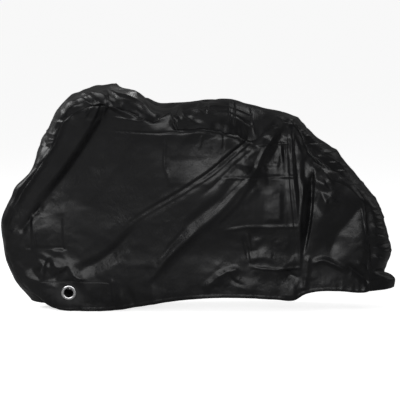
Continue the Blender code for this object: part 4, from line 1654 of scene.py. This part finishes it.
GUSSET_FOLDS = (
    # front: folds across the strip over the wheel and the brake cables
    Fold(((0.62, -0.1), (0.66, 0.1)), 0.006, 0.06, 0.06, 0.3, 0.2, 0.2),
    Fold(((0.905, -0.18), (0.88, -0.02)), 0.005, 0.01, 0.014, 0.05, 0.0, 0.3),
    Fold(((0.88, -0.17), (0.915, -0.05)), -0.004, 0.01, 0.01, 0.05, 0.0, 0.3),
    Fold(((0.936, -0.21), (0.945, 0.06)), -0.006, 0.008, 0.012, 0.05, 0.0, 0.3),
    Fold(((0.953, -0.22), (0.96, 0.06)), 0.007, 0.008, 0.01, 0.05, 0.0, 0.3),
    Fold(((0.975, -0.12), (1.035, -0.14)), -0.004, 0.012, 0.012, 0.05, 0.2, 0.2),
    Fold(((1.045, -0.24), (1.03, 0.05)), -0.008, 0.01, 0.04, 0.05, 0.0, 0.3),
    Fold(((1.085, -0.2), (1.12, -0.02)), 0.004, 0.02, 0.02, 0.05, 0.1, 0.3),
    Fold(((1.13, -0.28), (1.17, 0.1)), 0.006, 0.036, 0.04, 0.1, 0.0, 0.2),
    Fold(((1.225, -0.3), (1.185, -0.1)), -0.006, 0.014, 0.024, 0.08, 0.0, 0.4),
    Fold(((1.25, -0.31), (1.225, -0.05)), 0.006, 0.014, 0.03, 0.08, 0.0, 0.4),
    # and on the far side
    Fold(((0.85, 0.18), (0.89, 0.02)), 0.006, 0.024, 0.024, 0.1, 0.0, 0.4),
    Fold(((1.02, 0.24), (0.99, 0.04)), -0.007, 0.02, 0.024, 0.08, 0.0, 0.4),
    Fold(((1.19, 0.3), (1.14, 0.08)), 0.007, 0.026, 0.03, 0.08, 0.0, 0.4),
    # the ridge over the handlebar and the creases that run to its near end
    Fold(((1.348, -0.3), (1.383, 0.31)), 0.013, 0.075, 0.06, 0.05, 0.0, 0.0),
    Fold(((1.375, 0.18), (1.385, 0.33)), 0.01, 0.05, 0.05, 0.1, 0.6, 0.0),
    Fold(((1.2, -0.05), (1.28, -0.2), (1.345, -0.29)), 0.008, 0.04, 0.03, 0.05, 0.2, 0.0),
    Fold(((1.27, 0.04), (1.31, -0.14), (1.345, -0.28)), -0.006, 0.024, 0.024, 0.05, 0.2, 0.0),
    # the slope down from the handlebar
    Fold(((1.34, -0.05), (1.45, -0.16), (1.62, -0.24)), 0.008, 0.05, 0.03, 0.1, 0.3, 0.2),
    Fold(((1.48, 0.28), (1.505, 0.06), (1.53, -0.07)), 0.006, 0.04, 0.06, 0.05, 0.1, 0.2),
    Fold(((1.545, -0.07), (1.6, -0.2)), 0.006, 0.024, 0.03, 0.05, 0.1, 0.3),
    Fold(((1.5, 0.2), (1.58, 0.05), (1.66, -0.05)), -0.008, 0.03, 0.03, 0.1, 0.2, 0.3),
    # behind the tent of cloth before the saddle
    Fold(((1.735, -0.23), (1.745, -0.1), (1.76, 0.02)), 0.016, 0.04, 0.03, 0.06, 0.1, 0.8),
    Fold(((1.76, -0.16), (1.83, -0.23), (1.9, -0.25)), -0.007, 0.016, 0.02, 0.08, 0.2, 0.3),
    Fold(((1.8, -0.1), (1.88, -0.2)), 0.006, 0.016, 0.03, 0.08, 0.3, 0.3),
    # packing creases over the saddle
    Fold(((1.86, -0.122), (1.97, -0.116), (2.12, -0.096)), 0.005, 0.008, 0.008, 0.05, 0.1, 0.1),
    Fold(((1.87, -0.17), (2.13, -0.14)), -0.0045, 0.009, 0.009, 0.05, 0.1, 0.1),
    Fold(((1.89, -0.2), (1.892, -0.02)), -0.0045, 0.009, 0.009, 0.05, 0.1, 0.2),
    Fold(((1.996, -0.2), (1.992, -0.02)), 0.005, 0.008, 0.008, 0.05, 0.1, 0.2),
    Fold(((2.022, -0.2), (2.018, -0.04)), -0.0045, 0.008, 0.008, 0.05, 0.1, 0.2),
    Fold(((2.12, -0.18), (2.105, -0.04)), 0.004, 0.009, 0.009, 0.05, 0.1, 0.2),
    Fold(((2.055, -0.165), (2.1, -0.185), (2.16, -0.18)), 0.004, 0.014, 0.014, 0.05, 0.2, 0.2),
    # behind the saddle and over the carrier
    Fold(((2.33, -0.1), (2.37, 0.1)), 0.006, 0.03, 0.03, 0.1, 0.0, 0.0),
    Fold(((2.45, -0.12), (2.42, 0.1)), -0.006, 0.02, 0.03, 0.1, 0.0, 0.0),
    Fold(((2.62, -0.13), (2.6, 0.12)), 0.007, 0.03, 0.04, 0.1, 0.0, 0.0),
    Fold(((2.46, -0.115), (2.5, -0.02)), 0.004, 0.01, 0.012, 0.05, 0.1, 0.3),
    Fold(((2.52, -0.12), (2.535, -0.03)), -0.004, 0.01, 0.012, 0.05, 0.1, 0.3),
    Fold(((2.595, -0.12), (2.66, -0.085), (2.74, -0.095)), 0.005, 0.01, 0.01, 0.05, 0.1, 0.2),
    Fold(((2.66, -0.125), (2.7, -0.02)), 0.005, 0.01, 0.012, 0.05, 0.1, 0.3),
    Fold(((2.69, -0.13), (2.735, -0.05)), -0.005, 0.01, 0.012, 0.05, 0.1, 0.3),
    # rear: gathers from both seams
    Fold(((2.8, -0.14), (2.84, 0.1)), -0.006, 0.02, 0.03, 0.1, 0.0, 0.6),
    Fold(((2.89, -0.15), (2.93, 0.04)), 0.007, 0.02, 0.026, 0.08, 0.0, 0.6),
    Fold(((3.0, -0.15), (2.96, 0.06)), -0.007, 0.018, 0.022, 0.08, 0.0, 0.6),
    Fold(((3.07, -0.15), (3.11, -0.02)), 0.007, 0.018, 0.024, 0.08, 0.0, 0.6),
    Fold(((3.18, -0.14), (3.14, 0.03)), -0.007, 0.018, 0.02, 0.08, 0.0, 0.6),
    Fold(((3.23, -0.13), (3.27, -0.03)), 0.007, 0.016, 0.02, 0.08, 0.0, 0.6),
    Fold(((2.845, -0.1), (2.885, 0.02)), 0.005, 0.01, 0.012, 0.05, 0.2, 0.3),
    Fold(((2.93, -0.11), (2.965, -0.01)), -0.005, 0.01, 0.012, 0.05, 0.2, 0.3),
    Fold(((3.035, -0.12), (3.02, 0.0)), 0.006, 0.01, 0.012, 0.05, 0.2, 0.3),
    Fold(((3.1, -0.08), (3.15, 0.02)), -0.005, 0.01, 0.012, 0.05, 0.2, 0.3),
    Fold(((3.205, -0.11), (3.2, 0.01)), 0.005, 0.01, 0.012, 0.05, 0.2, 0.3),
    Fold(((2.86, -0.145), (2.875, -0.06)), 0.006, 0.009, 0.011, 0.05, 0.0, 0.4),
    Fold(((2.905, -0.15), (2.895, -0.07)), -0.006, 0.009, 0.011, 0.05, 0.0, 0.4),
    Fold(((2.985, -0.15), (3.01, -0.06)), 0.007, 0.009, 0.012, 0.05, 0.0, 0.4),
    Fold(((3.055, -0.145), (3.045, -0.07)), -0.006, 0.009, 0.01, 0.05, 0.0, 0.4),
    Fold(((3.12, -0.14), (3.135, -0.06)), 0.006, 0.009, 0.011, 0.05, 0.0, 0.4),
    Fold(((3.165, -0.14), (3.155, -0.08)), -0.006, 0.009, 0.01, 0.05, 0.0, 0.4),
    Fold(((2.86, 0.15), (2.82, 0.0)), 0.007, 0.022, 0.026, 0.08, 0.0, 0.6),
    Fold(((2.96, 0.15), (3.0, 0.02)), -0.007, 0.018, 0.024, 0.08, 0.0, 0.6),
    Fold(((3.05, 0.15), (3.02, -0.02)), 0.007, 0.02, 0.022, 0.08, 0.0, 0.6),
    Fold(((3.14, 0.14), (3.19, 0.04)), -0.007, 0.018, 0.022, 0.08, 0.0, 0.6),
    Fold(((3.25, 0.13), (3.21, 0.0)), 0.007, 0.016, 0.022, 0.08, 0.0, 0.6),
    Fold(((3.31, -0.13), (3.31, 0.12)), -0.014, 0.022, 0.026, 0.1, 0.0, 0.0),
)


GUSSET_ZONES = (
    Zone(0.93, -0.10, 0.12, 0.25, 1.2),      # over the brake cables
    Zone(1.20, -0.15, 0.10, 0.25, 0.9),
    Zone(1.76, -0.15, 0.10, 0.15, 0.6),      # before the saddle
    Zone(3.08, -0.05, 0.26, 0.20, 2.2),      # behind the rear wheel
)


@dataclass
class CentreGusset:
    """The strip from the front hem over handlebar and saddle to the rear hem.

    Across it the points run on an arch from the left seam over the crown to the
    right seam, and its edges are the panels' own edges.
    """

    left: SidePanel
    right: SidePanel
    strips: int = 112
    crowd: float = 0.6
    arch_power: float = 1.8
    crumpled: tuple = (1.0, 0.5, 0.2)
    crumple_turns: tuple = (70.0, 110.0, 35.0)
    crumple_stretch: float = 1.3
    crumple_shift: float = 0.31
    points: Array = field(init=False, repr=False)

    def __post_init__(self) -> None:
        """Work out the net once."""
        self.points = self._net()

    def _loop(self) -> Array:
        """The stations from the front hem over the top to the rear hem.

        Returns:
            One row like a station's for each place.
        """
        s, t = self.left.s, self.left.t
        front, top, rear = lengths = np.array([chord(FRONT), chord(TOP), chord(REAR)])
        _, top_start, rear_start = np.cumsum(lengths) - lengths
        places = np.concatenate([t * front, top_start + s[1:] * top,
                                 rear_start + (1.0 - t[::-1][1:]) * rear]) / lengths.sum()
        return spline(FRONT + TOP[1:] + REAR[::-1][1:], places)

    @staticmethod
    def _seam(panel: SidePanel) -> Array:
        """A panel's finished edge along the same loop."""
        net = panel.points
        return np.vstack([net[:, 0], net[-1, 1:], net[::-1, -1][1:]])

    def _net(self) -> Array:
        """The gusset's points, one row for each strip edge from left to right.

        Returns:
            The net's points.
        """
        loop = self._loop()
        across = 2 * shares(self.strips, self.crowd) - 1
        arch = (1.0 - np.abs(across) ** self.arch_power)[:, None]
        seam_x, half, seam_z, crown_x, crown_z = loop.T
        x = seam_x + arch * (crown_x - seam_x)
        y = across[:, None] * half
        z = seam_z + arch * (crown_z - seam_z)
        points = np.stack([x, y, z], axis=-1)
        away = (1 - np.abs(across))[:, None] * half
        reach = self.left.shoulder_reach[0] + self.left.shoulder_reach[1] * half
        share = (np.clip(1.0 - away / reach, 0.0, None) ** 2)[..., None]
        near = (across < 0)[:, None, None]
        sewn = np.where(near, self._seam(self.left)[None], self._seam(self.right)[None])
        plain = np.stack([seam_x + 0 * y, np.sign(across)[:, None] * half, seam_z + 0 * y], axis=-1)
        points = points + share * (sewn - plain)
        still = rise(away / self.left.seam_still)
        return points + (self._push(points) * still)[..., None] * net_normals(points)

    def _push(self, points: Array) -> Array:
        """How far the gusset stands out at each point: its short folds and its facets.

        Args:
            points: the net's points before its relief.

        Returns:
            One height for each point.
        """
        run = np.linalg.norm(np.diff(points[self.strips // 2], axis=0), axis=1)
        length = np.concatenate([[0.0], np.cumsum(run)])
        u, y = np.broadcast_to(length[None], points.shape[:2]), points[..., 1]
        push = sum(fold_push(u, y, smooth_path(fold)) for fold in GUSSET_FOLDS)
        zones = zone_strength(u, y, GUSSET_ZONES, 1.0)
        for crumple, turn, strength in zip(self.left.crumples, self.crumple_turns, self.crumpled):
            field_push = crumple.push(u, y + self.crumple_shift, turn, self.crumple_stretch)
            push += strength * zones * field_push
        return push

    def build(self) -> Piece:
        """Make the gusset's mesh, with both ends turned up inside as hems.

        Returns:
            The piece.
        """
        net = self.points
        start = [net[:, 0] + np.array([inward, 0, up]) for inward, up in self.left.hem_roll]
        end = [net[:, -1] + np.array([-inward, 0, up]) for inward, up in self.left.hem_roll]
        net = np.concatenate([np.stack(start[::-1], axis=1), net, np.stack(end, axis=1)], axis=1)
        faces = net_faces(*net.shape[:2], True)
        uv = cut_lengths(net).reshape(-1, 2)
        return mesh_object("centre_gusset_cloth", net.reshape(-1, 3), faces, uv)

    def dress(self, piece: Piece, finish: Material, with_pieces: list) -> None:
        """Give the gusset its finish, hide the CAD part it replaces and attach it to the root.

        Args:
            piece: the gusset's mesh object.
            finish: its material.
            with_pieces: the pieces sewn on it; not used.
        """
        piece.data.materials.append(finish)
        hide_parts("centre_gusset")
        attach(piece, "root")

    def sew(self, row: Stitching) -> None:
        """Lay a stitch row across each hem, up to a little before the seams.

        Args:
            row: the stitching to add the rows to.
        """
        normals = net_normals(self.points)
        run = np.linalg.norm(np.diff(self.points[self.strips // 2], axis=0), axis=1).cumsum()
        depth, inner = self.left.hem_depth, slice(2, -2)
        first = int(np.searchsorted(run, depth)) + 1
        last = self.points.shape[1] - 1 - int(np.searchsorted(run[-1] - run[::-1], depth))
        for column in (first, last):
            row.add(self.points[inner, column], normals[inner, column])


# ---------------------------------------------------------------- patch and eyelet


@dataclass
class EyeletPatch:
    """The second layer of cloth round the eyelet, stitched on with its edges turned under.

    It is a ring of cloth between the eyelet's hole and the patch's outline. The
    outline's distance from the eyelet is the smooth least of the distances to
    its sides, which rounds its corners.
    """

    panel: SidePanel
    left_x: float = -0.800
    right_x: float = -0.450
    top_z: float = 0.150
    hem_inset: float = 0.003
    seam_inset: float = 0.012
    corner_power: float = 16.0
    lift: float = 0.0011
    least_lift: float = 0.0001
    edge: float = 0.0025
    row_inset: float = 0.0055
    row_width: float = 0.0016
    row_depth: float = 0.0008
    inner_row: float = 0.0435
    thread_seat: float = 0.0004
    around: int = 260
    outward: int = 46
    outer_crowd: float = 0.25
    s: Array = field(init=False, repr=False)
    t: Array = field(init=False, repr=False)
    reach: Array = field(init=False, repr=False)
    turn: Array = field(init=False, repr=False)
    outline: Array = field(init=False, repr=False)

    def __post_init__(self) -> None:
        """Work out where each point of the ring lies on the panel."""
        self.turn = 2 * np.pi * np.arange(self.around) / self.around
        self.outline = self._outline()
        share = np.linspace(0.0, 1.0, self.outward + 1)
        share = share + self.outer_crowd * np.sin(np.pi * share) / np.pi
        self.reach = self.panel.hole_r + share[:, None] * (self.outline - self.panel.hole_r)
        self.s, self.t = self._at(self.reach)

    def _at(self, reach: Array) -> tuple[Array, Array]:
        """The panel's shares at a distance from the eyelet's centre, all round it.

        Args:
            reach: the distance in each direction.

        Returns:
            The shares s and t.
        """
        x = self.panel.eyelet_x + reach * np.cos(self.turn)
        z = self.panel.eyelet_z + reach * np.sin(self.turn)
        return self.panel.find(x, z)

    def _outline(self) -> Array:
        """The outline's distance from the eyelet's centre in each direction.

        Each side is its outward direction and its distance from the centre. The
        first three are upright or level, and the rest follow hem and seam.

        Returns:
            One distance for each direction.
        """
        x, z = self.panel.eyelet_x, self.panel.eyelet_z
        sides = [(1.0, 0.0, self.right_x - x), (0.0, 1.0, self.top_z - z),
                 (-1.0, 0.0, x - self.left_x)]
        hem = [(p.x, p.z) for p in HEM[:5]]
        seam = [(p.x, p.z) for p in FRONT[:3]][::-1]
        for line, inset in ((hem, self.hem_inset), (seam, self.seam_inset)):
            for (ax, az), (bx, bz) in zip(line[:-1], line[1:]):
                run = math.hypot(bx - ax, bz - az)
                nx, nz = (bz - az) / run, -(bx - ax) / run
                sides.append((nx, nz, (ax - x) * nx + (az - z) * nz - inset))
        total = sum(np.clip((nx * np.cos(self.turn) + nz * np.sin(self.turn)) / far, 0.0, None)
                    ** self.corner_power for nx, nz, far in sides)
        return total ** (-1.0 / self.corner_power)

    def build(self) -> Piece:
        """Make the patch's mesh, a little proud of the panel and rounded down at its edge.

        Returns:
            The piece.
        """
        place = self.panel.place(self.s, self.t)
        normal = self.panel.normals(self.s, self.t)
        inset = self.outline - self.reach
        left = np.clip(inset / self.edge, 0.0, 1.0)
        lift = self.lift * np.sqrt(np.clip(1.0 - (1.0 - left) ** 2, 0.0, None)) + self.least_lift
        groove = self.row_depth * np.exp(-((inset - self.row_inset) / self.row_width) ** 2)
        net = place + (lift - groove)[..., None] * normal
        faces = net_faces(*net.shape[:2], self.panel.side is Side.LEFT, around=True)
        flat = net.reshape(-1, 3)
        uv = flat[:, [0, 2]] - (self.panel.eyelet_x, self.panel.eyelet_z)
        return mesh_object(f"{self.panel.side.word}_patch_cloth", flat, faces, uv)

    def dress(self, piece: Piece, finish: Material, carried_by: Piece, with_pieces: list) -> None:
        """Give the patch its finish, hide the CAD part it replaces and attach it to the root.

        Args:
            piece: the patch's mesh object.
            finish: its material.
            carried_by: the panel's piece; not used.
            with_pieces: the pieces sewn on it; not used.
        """
        piece.data.materials.append(finish)
        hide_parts(f"{self.panel.side.word}_patch")
        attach(piece, "root")

    def sew(self, row: Stitching) -> None:
        """Lay one stitch row inside the outline and one round the eyelet.

        Args:
            row: the stitching to add the rows to.
        """
        for reach in (self.outline - self.row_inset, np.full(self.around, self.inner_row)):
            s, t = self._at(reach)
            s, t = np.append(s, s[0]), np.append(t, t[0])
            normal = self.panel.normals(s, t)
            row.add(self.panel.place(s, t) + (self.lift - self.thread_seat) * normal, normal)


@dataclass
class TurnedRing:
    """A ring turned about the eyelet's axis from a closed profile."""

    name: str
    replaces: str
    slot: str
    side: Side
    profile: Array
    centre: tuple
    steps: int = 96

    def build(self, finish: Material) -> Piece:
        """Carry the profile (distance from the axis, height outwards) round the axis.

        Args:
            finish: the ring's material.

        Returns:
            The piece.
        """
        turn = 2 * np.pi * np.arange(self.steps) / self.steps
        far, out = self.profile[:, :1], self.profile[:, 1:]
        x, half, z = self.centre
        points = np.stack([x + far * np.cos(turn), self.side.value * (half + out + 0 * turn),
                           z + far * np.sin(turn)], axis=-1)
        points = np.concatenate([points, points[:1]])
        faces = net_faces(len(points), self.steps, self.side is Side.RIGHT, around=True)
        last = (len(points) - 1) * self.steps
        faces = np.where(faces >= last, faces - last, faces)
        piece = mesh_object(self.name, points[:-1].reshape(-1, 3), faces)
        piece.data.materials.append(finish)
        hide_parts(self.replaces)
        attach(piece, "root")
        return piece


@dataclass
class Eyelet:
    """A pressed eyelet: a domed flange in front, a barrel, a rolled lip and a washer behind."""

    panel: SidePanel
    hole_r: float = 0.0235
    barrel_r: float = 0.0250
    flange_r: float = 0.0370
    flange_seat: float = 0.0013
    flange_rise: float = 0.0026
    flange_rim: float = 0.0010
    dome_power: float = 0.75
    washer_r: float = 0.0335
    washer_play: float = 0.0003
    washer_front: float = -0.0004
    washer_back: float = -0.0016
    washer_power: float = 0.5
    lip_r: float = 0.0012
    lip_turn: float = 1.2

    def _flange(self) -> Array:
        """The eyelet's closed profile, from the flange's rim over its dome and round the lip.

        Returns:
            One row of distance and height for each point.
        """
        angle = np.linspace(0.0, np.pi, 25)
        middle, half = (self.flange_r + self.hole_r) / 2, (self.flange_r - self.hole_r) / 2
        over = self.flange_seat + self.flange_rise * np.sin(angle) ** self.dome_power
        dome = np.stack([middle + half * np.cos(angle), over], axis=1)
        roll_at = self.washer_back - self.lip_r
        roll = np.linspace(np.pi, 1.5 * np.pi + self.lip_turn, 13)
        lip = np.stack([self.hole_r + self.lip_r + self.lip_r * np.cos(roll),
                        roll_at + self.lip_r * np.sin(roll)], axis=1)
        back = np.array([(self.barrel_r, self.washer_back), (self.barrel_r, self.flange_seat),
                         (self.flange_r - self.flange_rim, self.flange_seat)])
        return np.concatenate([dome, lip, back])

    def _washer(self) -> Array:
        """The washer's closed profile: a flat ring with rounded edges, a superellipse.

        Returns:
            One row of distance and height for each point.
        """
        angle = np.linspace(0.0, 2 * np.pi, 33)[:-1]
        inner = self.barrel_r + self.washer_play
        middle, half = (self.washer_r + inner) / 2, (self.washer_r - inner) / 2
        level = (self.washer_front + self.washer_back) / 2
        deep = (self.washer_front - self.washer_back) / 2
        c, s = np.cos(angle), np.sin(angle)
        return np.stack([middle + half * np.sign(c) * np.abs(c) ** self.washer_power,
                         level + deep * np.sign(s) * np.abs(s) ** self.washer_power], axis=1)

    def build(self, finish: Material) -> list[Piece]:
        """Turn the eyelet and its washer.

        Args:
            finish: the metal.

        Returns:
            The two pieces.
        """
        panel, side = self.panel, self.panel.side
        centre = (panel.eyelet_x, panel.eyelet_half, panel.eyelet_z)
        parts = (("eyelet", self._flange()), ("washer", self._washer()))
        rings = [TurnedRing(f"{side.word}_{part}_ring", f"{side.word}_{part}", f"{part}_metal",
                            side, profile, centre) for part, profile in parts]
        return [ring.build(finish) for ring in rings]


# ---------------------------------------------------------------- studio


class Softbox(NamedTuple):
    """A rectangular soft light: name, place, aim, width, height, watts and its beam's spread."""

    name: str
    place: tuple
    aim: tuple
    width: float
    height: float
    watts: float
    spread: float = math.pi


SOFTBOXES = (
    Softbox("overhead", (-0.6, -1.0, 4.0), (0.0, 0.0, 0.6), 5.0, 2.6, 6.0),
    Softbox("front_wall", (-0.3, -6.0, 2.0), (0.0, 0.0, 0.6), 6.0, 2.4, 118.0),
    Softbox("front_high", (-2.5, -3.5, 3.2), (0.0, 0.0, 0.6), 2.4, 1.6, 38.0),
    Softbox("left_back", (-3.2, 1.6, 2.8), (-0.6, 0.0, 0.8), 2.4, 2.4, 52.0),
    Softbox("right_back", (1.9, 1.4, 3.8), (-0.3, 0.0, 1.0), 1.2, 1.2, 10.0),
    Softbox("right_side", (3.2, 0.9, 1.4), (0.9, 0.0, 0.4), 1.0, 1.6, 3.0),
    Softbox("handlebar_glint", (-0.26, 0.75, 1.42), (-0.35, 0.0, 1.09), 0.08, 0.08, 0.0016, 0.26),
)


@dataclass
class Studio:
    """The camera, the floor and the soft lights."""

    distance: float = 12.0
    view_width: float = 2.02
    elevation: float = 8.0
    aim: tuple = (0.005, 0.0, 0.5467)
    floor_z: float = -0.002
    floor_size: float = 60.0
    pale: tuple = (0.80, 0.80, 0.80)
    glow: float = 0.88
    # the painted shadow: the floor's glow fades where ambient occlusion within this reach is low
    painted_shadow_reach: float = 0.5
    painted_shadow_range: tuple = (0.04, 0.40)
    dull: tuple = (0.42, 0.42, 0.42)
    floor_rough: float = 0.9
    white: float = 1.0
    dim: float = 0.07
    sensor: float = 36.0
    sight: float = 200.0

    def camera(self) -> None:
        """A long lens at the height of a standing viewer's waist, looking along +Y."""
        data = bpy.data.cameras.new("camera")
        data.sensor_width = self.sensor
        data.lens = data.sensor_width * self.distance / self.view_width
        data.clip_end = self.sight
        thing = bpy.data.objects.new("camera", data)
        bpy.context.scene.collection.objects.link(thing)
        up = math.radians(self.elevation)
        back = Vector((0.0, -math.cos(up), math.sin(up)))
        thing.location = Vector(self.aim) + self.distance * back
        thing.rotation_euler = back.to_track_quat("Z", "Y").to_euler()
        bpy.context.scene.camera = thing

    def floor(self) -> None:
        """A floor under the hem: white to the eye, with a painted shadow inside the cover and under
        the hem, dull to the cloth.
        """
        half, level = self.floor_size / 2, self.floor_z
        corners = np.array([(-half, -half, level), (half, -half, level),
                            (half, half, level), (-half, half, level)])
        thing = mesh_object("floor", corners, np.array([[0, 1, 2, 3]]))
        made, tree, shader = new_material("pale_floor")
        seen = node(tree, "ShaderNodeLightPath").outputs["Is Camera Ray"]
        link(tree, blend(tree, seen, self.dull, self.pale), shader.inputs["Base Color"])
        shader.inputs["Roughness"].default_value = self.floor_rough
        shader.inputs["Specular IOR Level"].default_value = 0.0
        shader.inputs["Emission Color"].default_value = (1.0, 1.0, 1.0, 1.0)
        # painted shadow: ambient occlusion dims the glow the camera sees, dark inside the cover and
        # under the hem
        cover = node(tree, "ShaderNodeAmbientOcclusion", samples=8)
        cover.inputs["Distance"].default_value = self.painted_shadow_reach
        painted_shadow_keep = ramp(tree, cover.outputs["AO"], *self.painted_shadow_range)
        glow = maths(tree, "MULTIPLY", seen, maths(tree, "MULTIPLY", painted_shadow_keep, self.glow))
        link(tree, glow, shader.inputs["Emission Strength"])
        thing.data.materials.append(made)

    def softbox(self, box: Softbox) -> None:
        """One rectangular soft light.

        Args:
            box: the light's sizes and place.
        """
        data = bpy.data.lights.new(box.name, "AREA")
        data.shape = "RECTANGLE"
        data.size, data.size_y = box.width, box.height
        data.energy = box.watts
        data.spread = box.spread
        thing = bpy.data.objects.new(box.name, data)
        thing.location = box.place
        thing.visible_camera = False
        back = Vector(box.place) - Vector(box.aim)
        thing.rotation_euler = back.to_track_quat("Z", "Y").to_euler()
        bpy.context.scene.collection.objects.link(thing)

    def backdrop(self) -> None:
        """A white backdrop to the eye that lights the cover only dimly."""
        world = bpy.data.worlds.new("studio")
        world.use_nodes = True
        bpy.context.scene.world = world
        tree = world.node_tree
        back = tree.nodes["Background"]
        back.inputs["Color"].default_value = (1.0, 1.0, 1.0, 1.0)
        seen = node(tree, "ShaderNodeLightPath").outputs["Is Camera Ray"]
        strength = maths(tree, "MULTIPLY_ADD", seen, self.white - self.dim, self.dim)
        link(tree, strength, back.inputs["Strength"])

    def build(self) -> None:
        """Set up the whole studio."""
        self.camera()
        self.floor()
        for box in SOFTBOXES:
            self.softbox(box)
        self.backdrop()
        bpy.context.scene.view_settings.view_transform = "Standard"


def report(piece: Piece) -> Piece:
    """Log a piece's name and how many faces it has."""
    LOG.info("%s: %d faces", piece.name, len(piece.data.polygons))
    return piece


def main() -> None:
    """Build every piece in order, then the studio."""
    logging.basicConfig(level=logging.INFO, format="%(message)s")
    effects = Effects()
    cloth = CoatedCloth().material(effects)
    nickel, thread = Nickel().material(), Thread().material()
    crumples = (Crumple(11, 0.105, 0.0045), Crumple(12, 0.050, 0.0028), Crumple(13, 0.026, 0.0016))
    panels = {side: SidePanel(side, crumples) for side in Side}
    for side, panel in panels.items():
        seams = Stitching(f"{side.word}_panel_stitching")
        panel.sew(seams)
        seams = report(seams.build(thread))
        piece = report(panel.build())
        panel.dress(piece, cloth, [seams])
        patch = EyeletPatch(panel)
        border = Stitching(f"{side.word}_patch_stitching")
        patch.sew(border)
        border = report(border.build(thread))
        patch_piece = report(patch.build())
        patch.dress(patch_piece, cloth, piece, [border])
        for ring in Eyelet(panel).build(nickel):
            report(ring)
    gusset = CentreGusset(panels[Side.LEFT], panels[Side.RIGHT])
    hems = Stitching("gusset_stitching")
    gusset.sew(hems)
    hems = report(hems.build(thread))
    gusset.dress(report(gusset.build()), cloth, [hems])
    Studio().build()


if __name__ == "__main__":
    main()
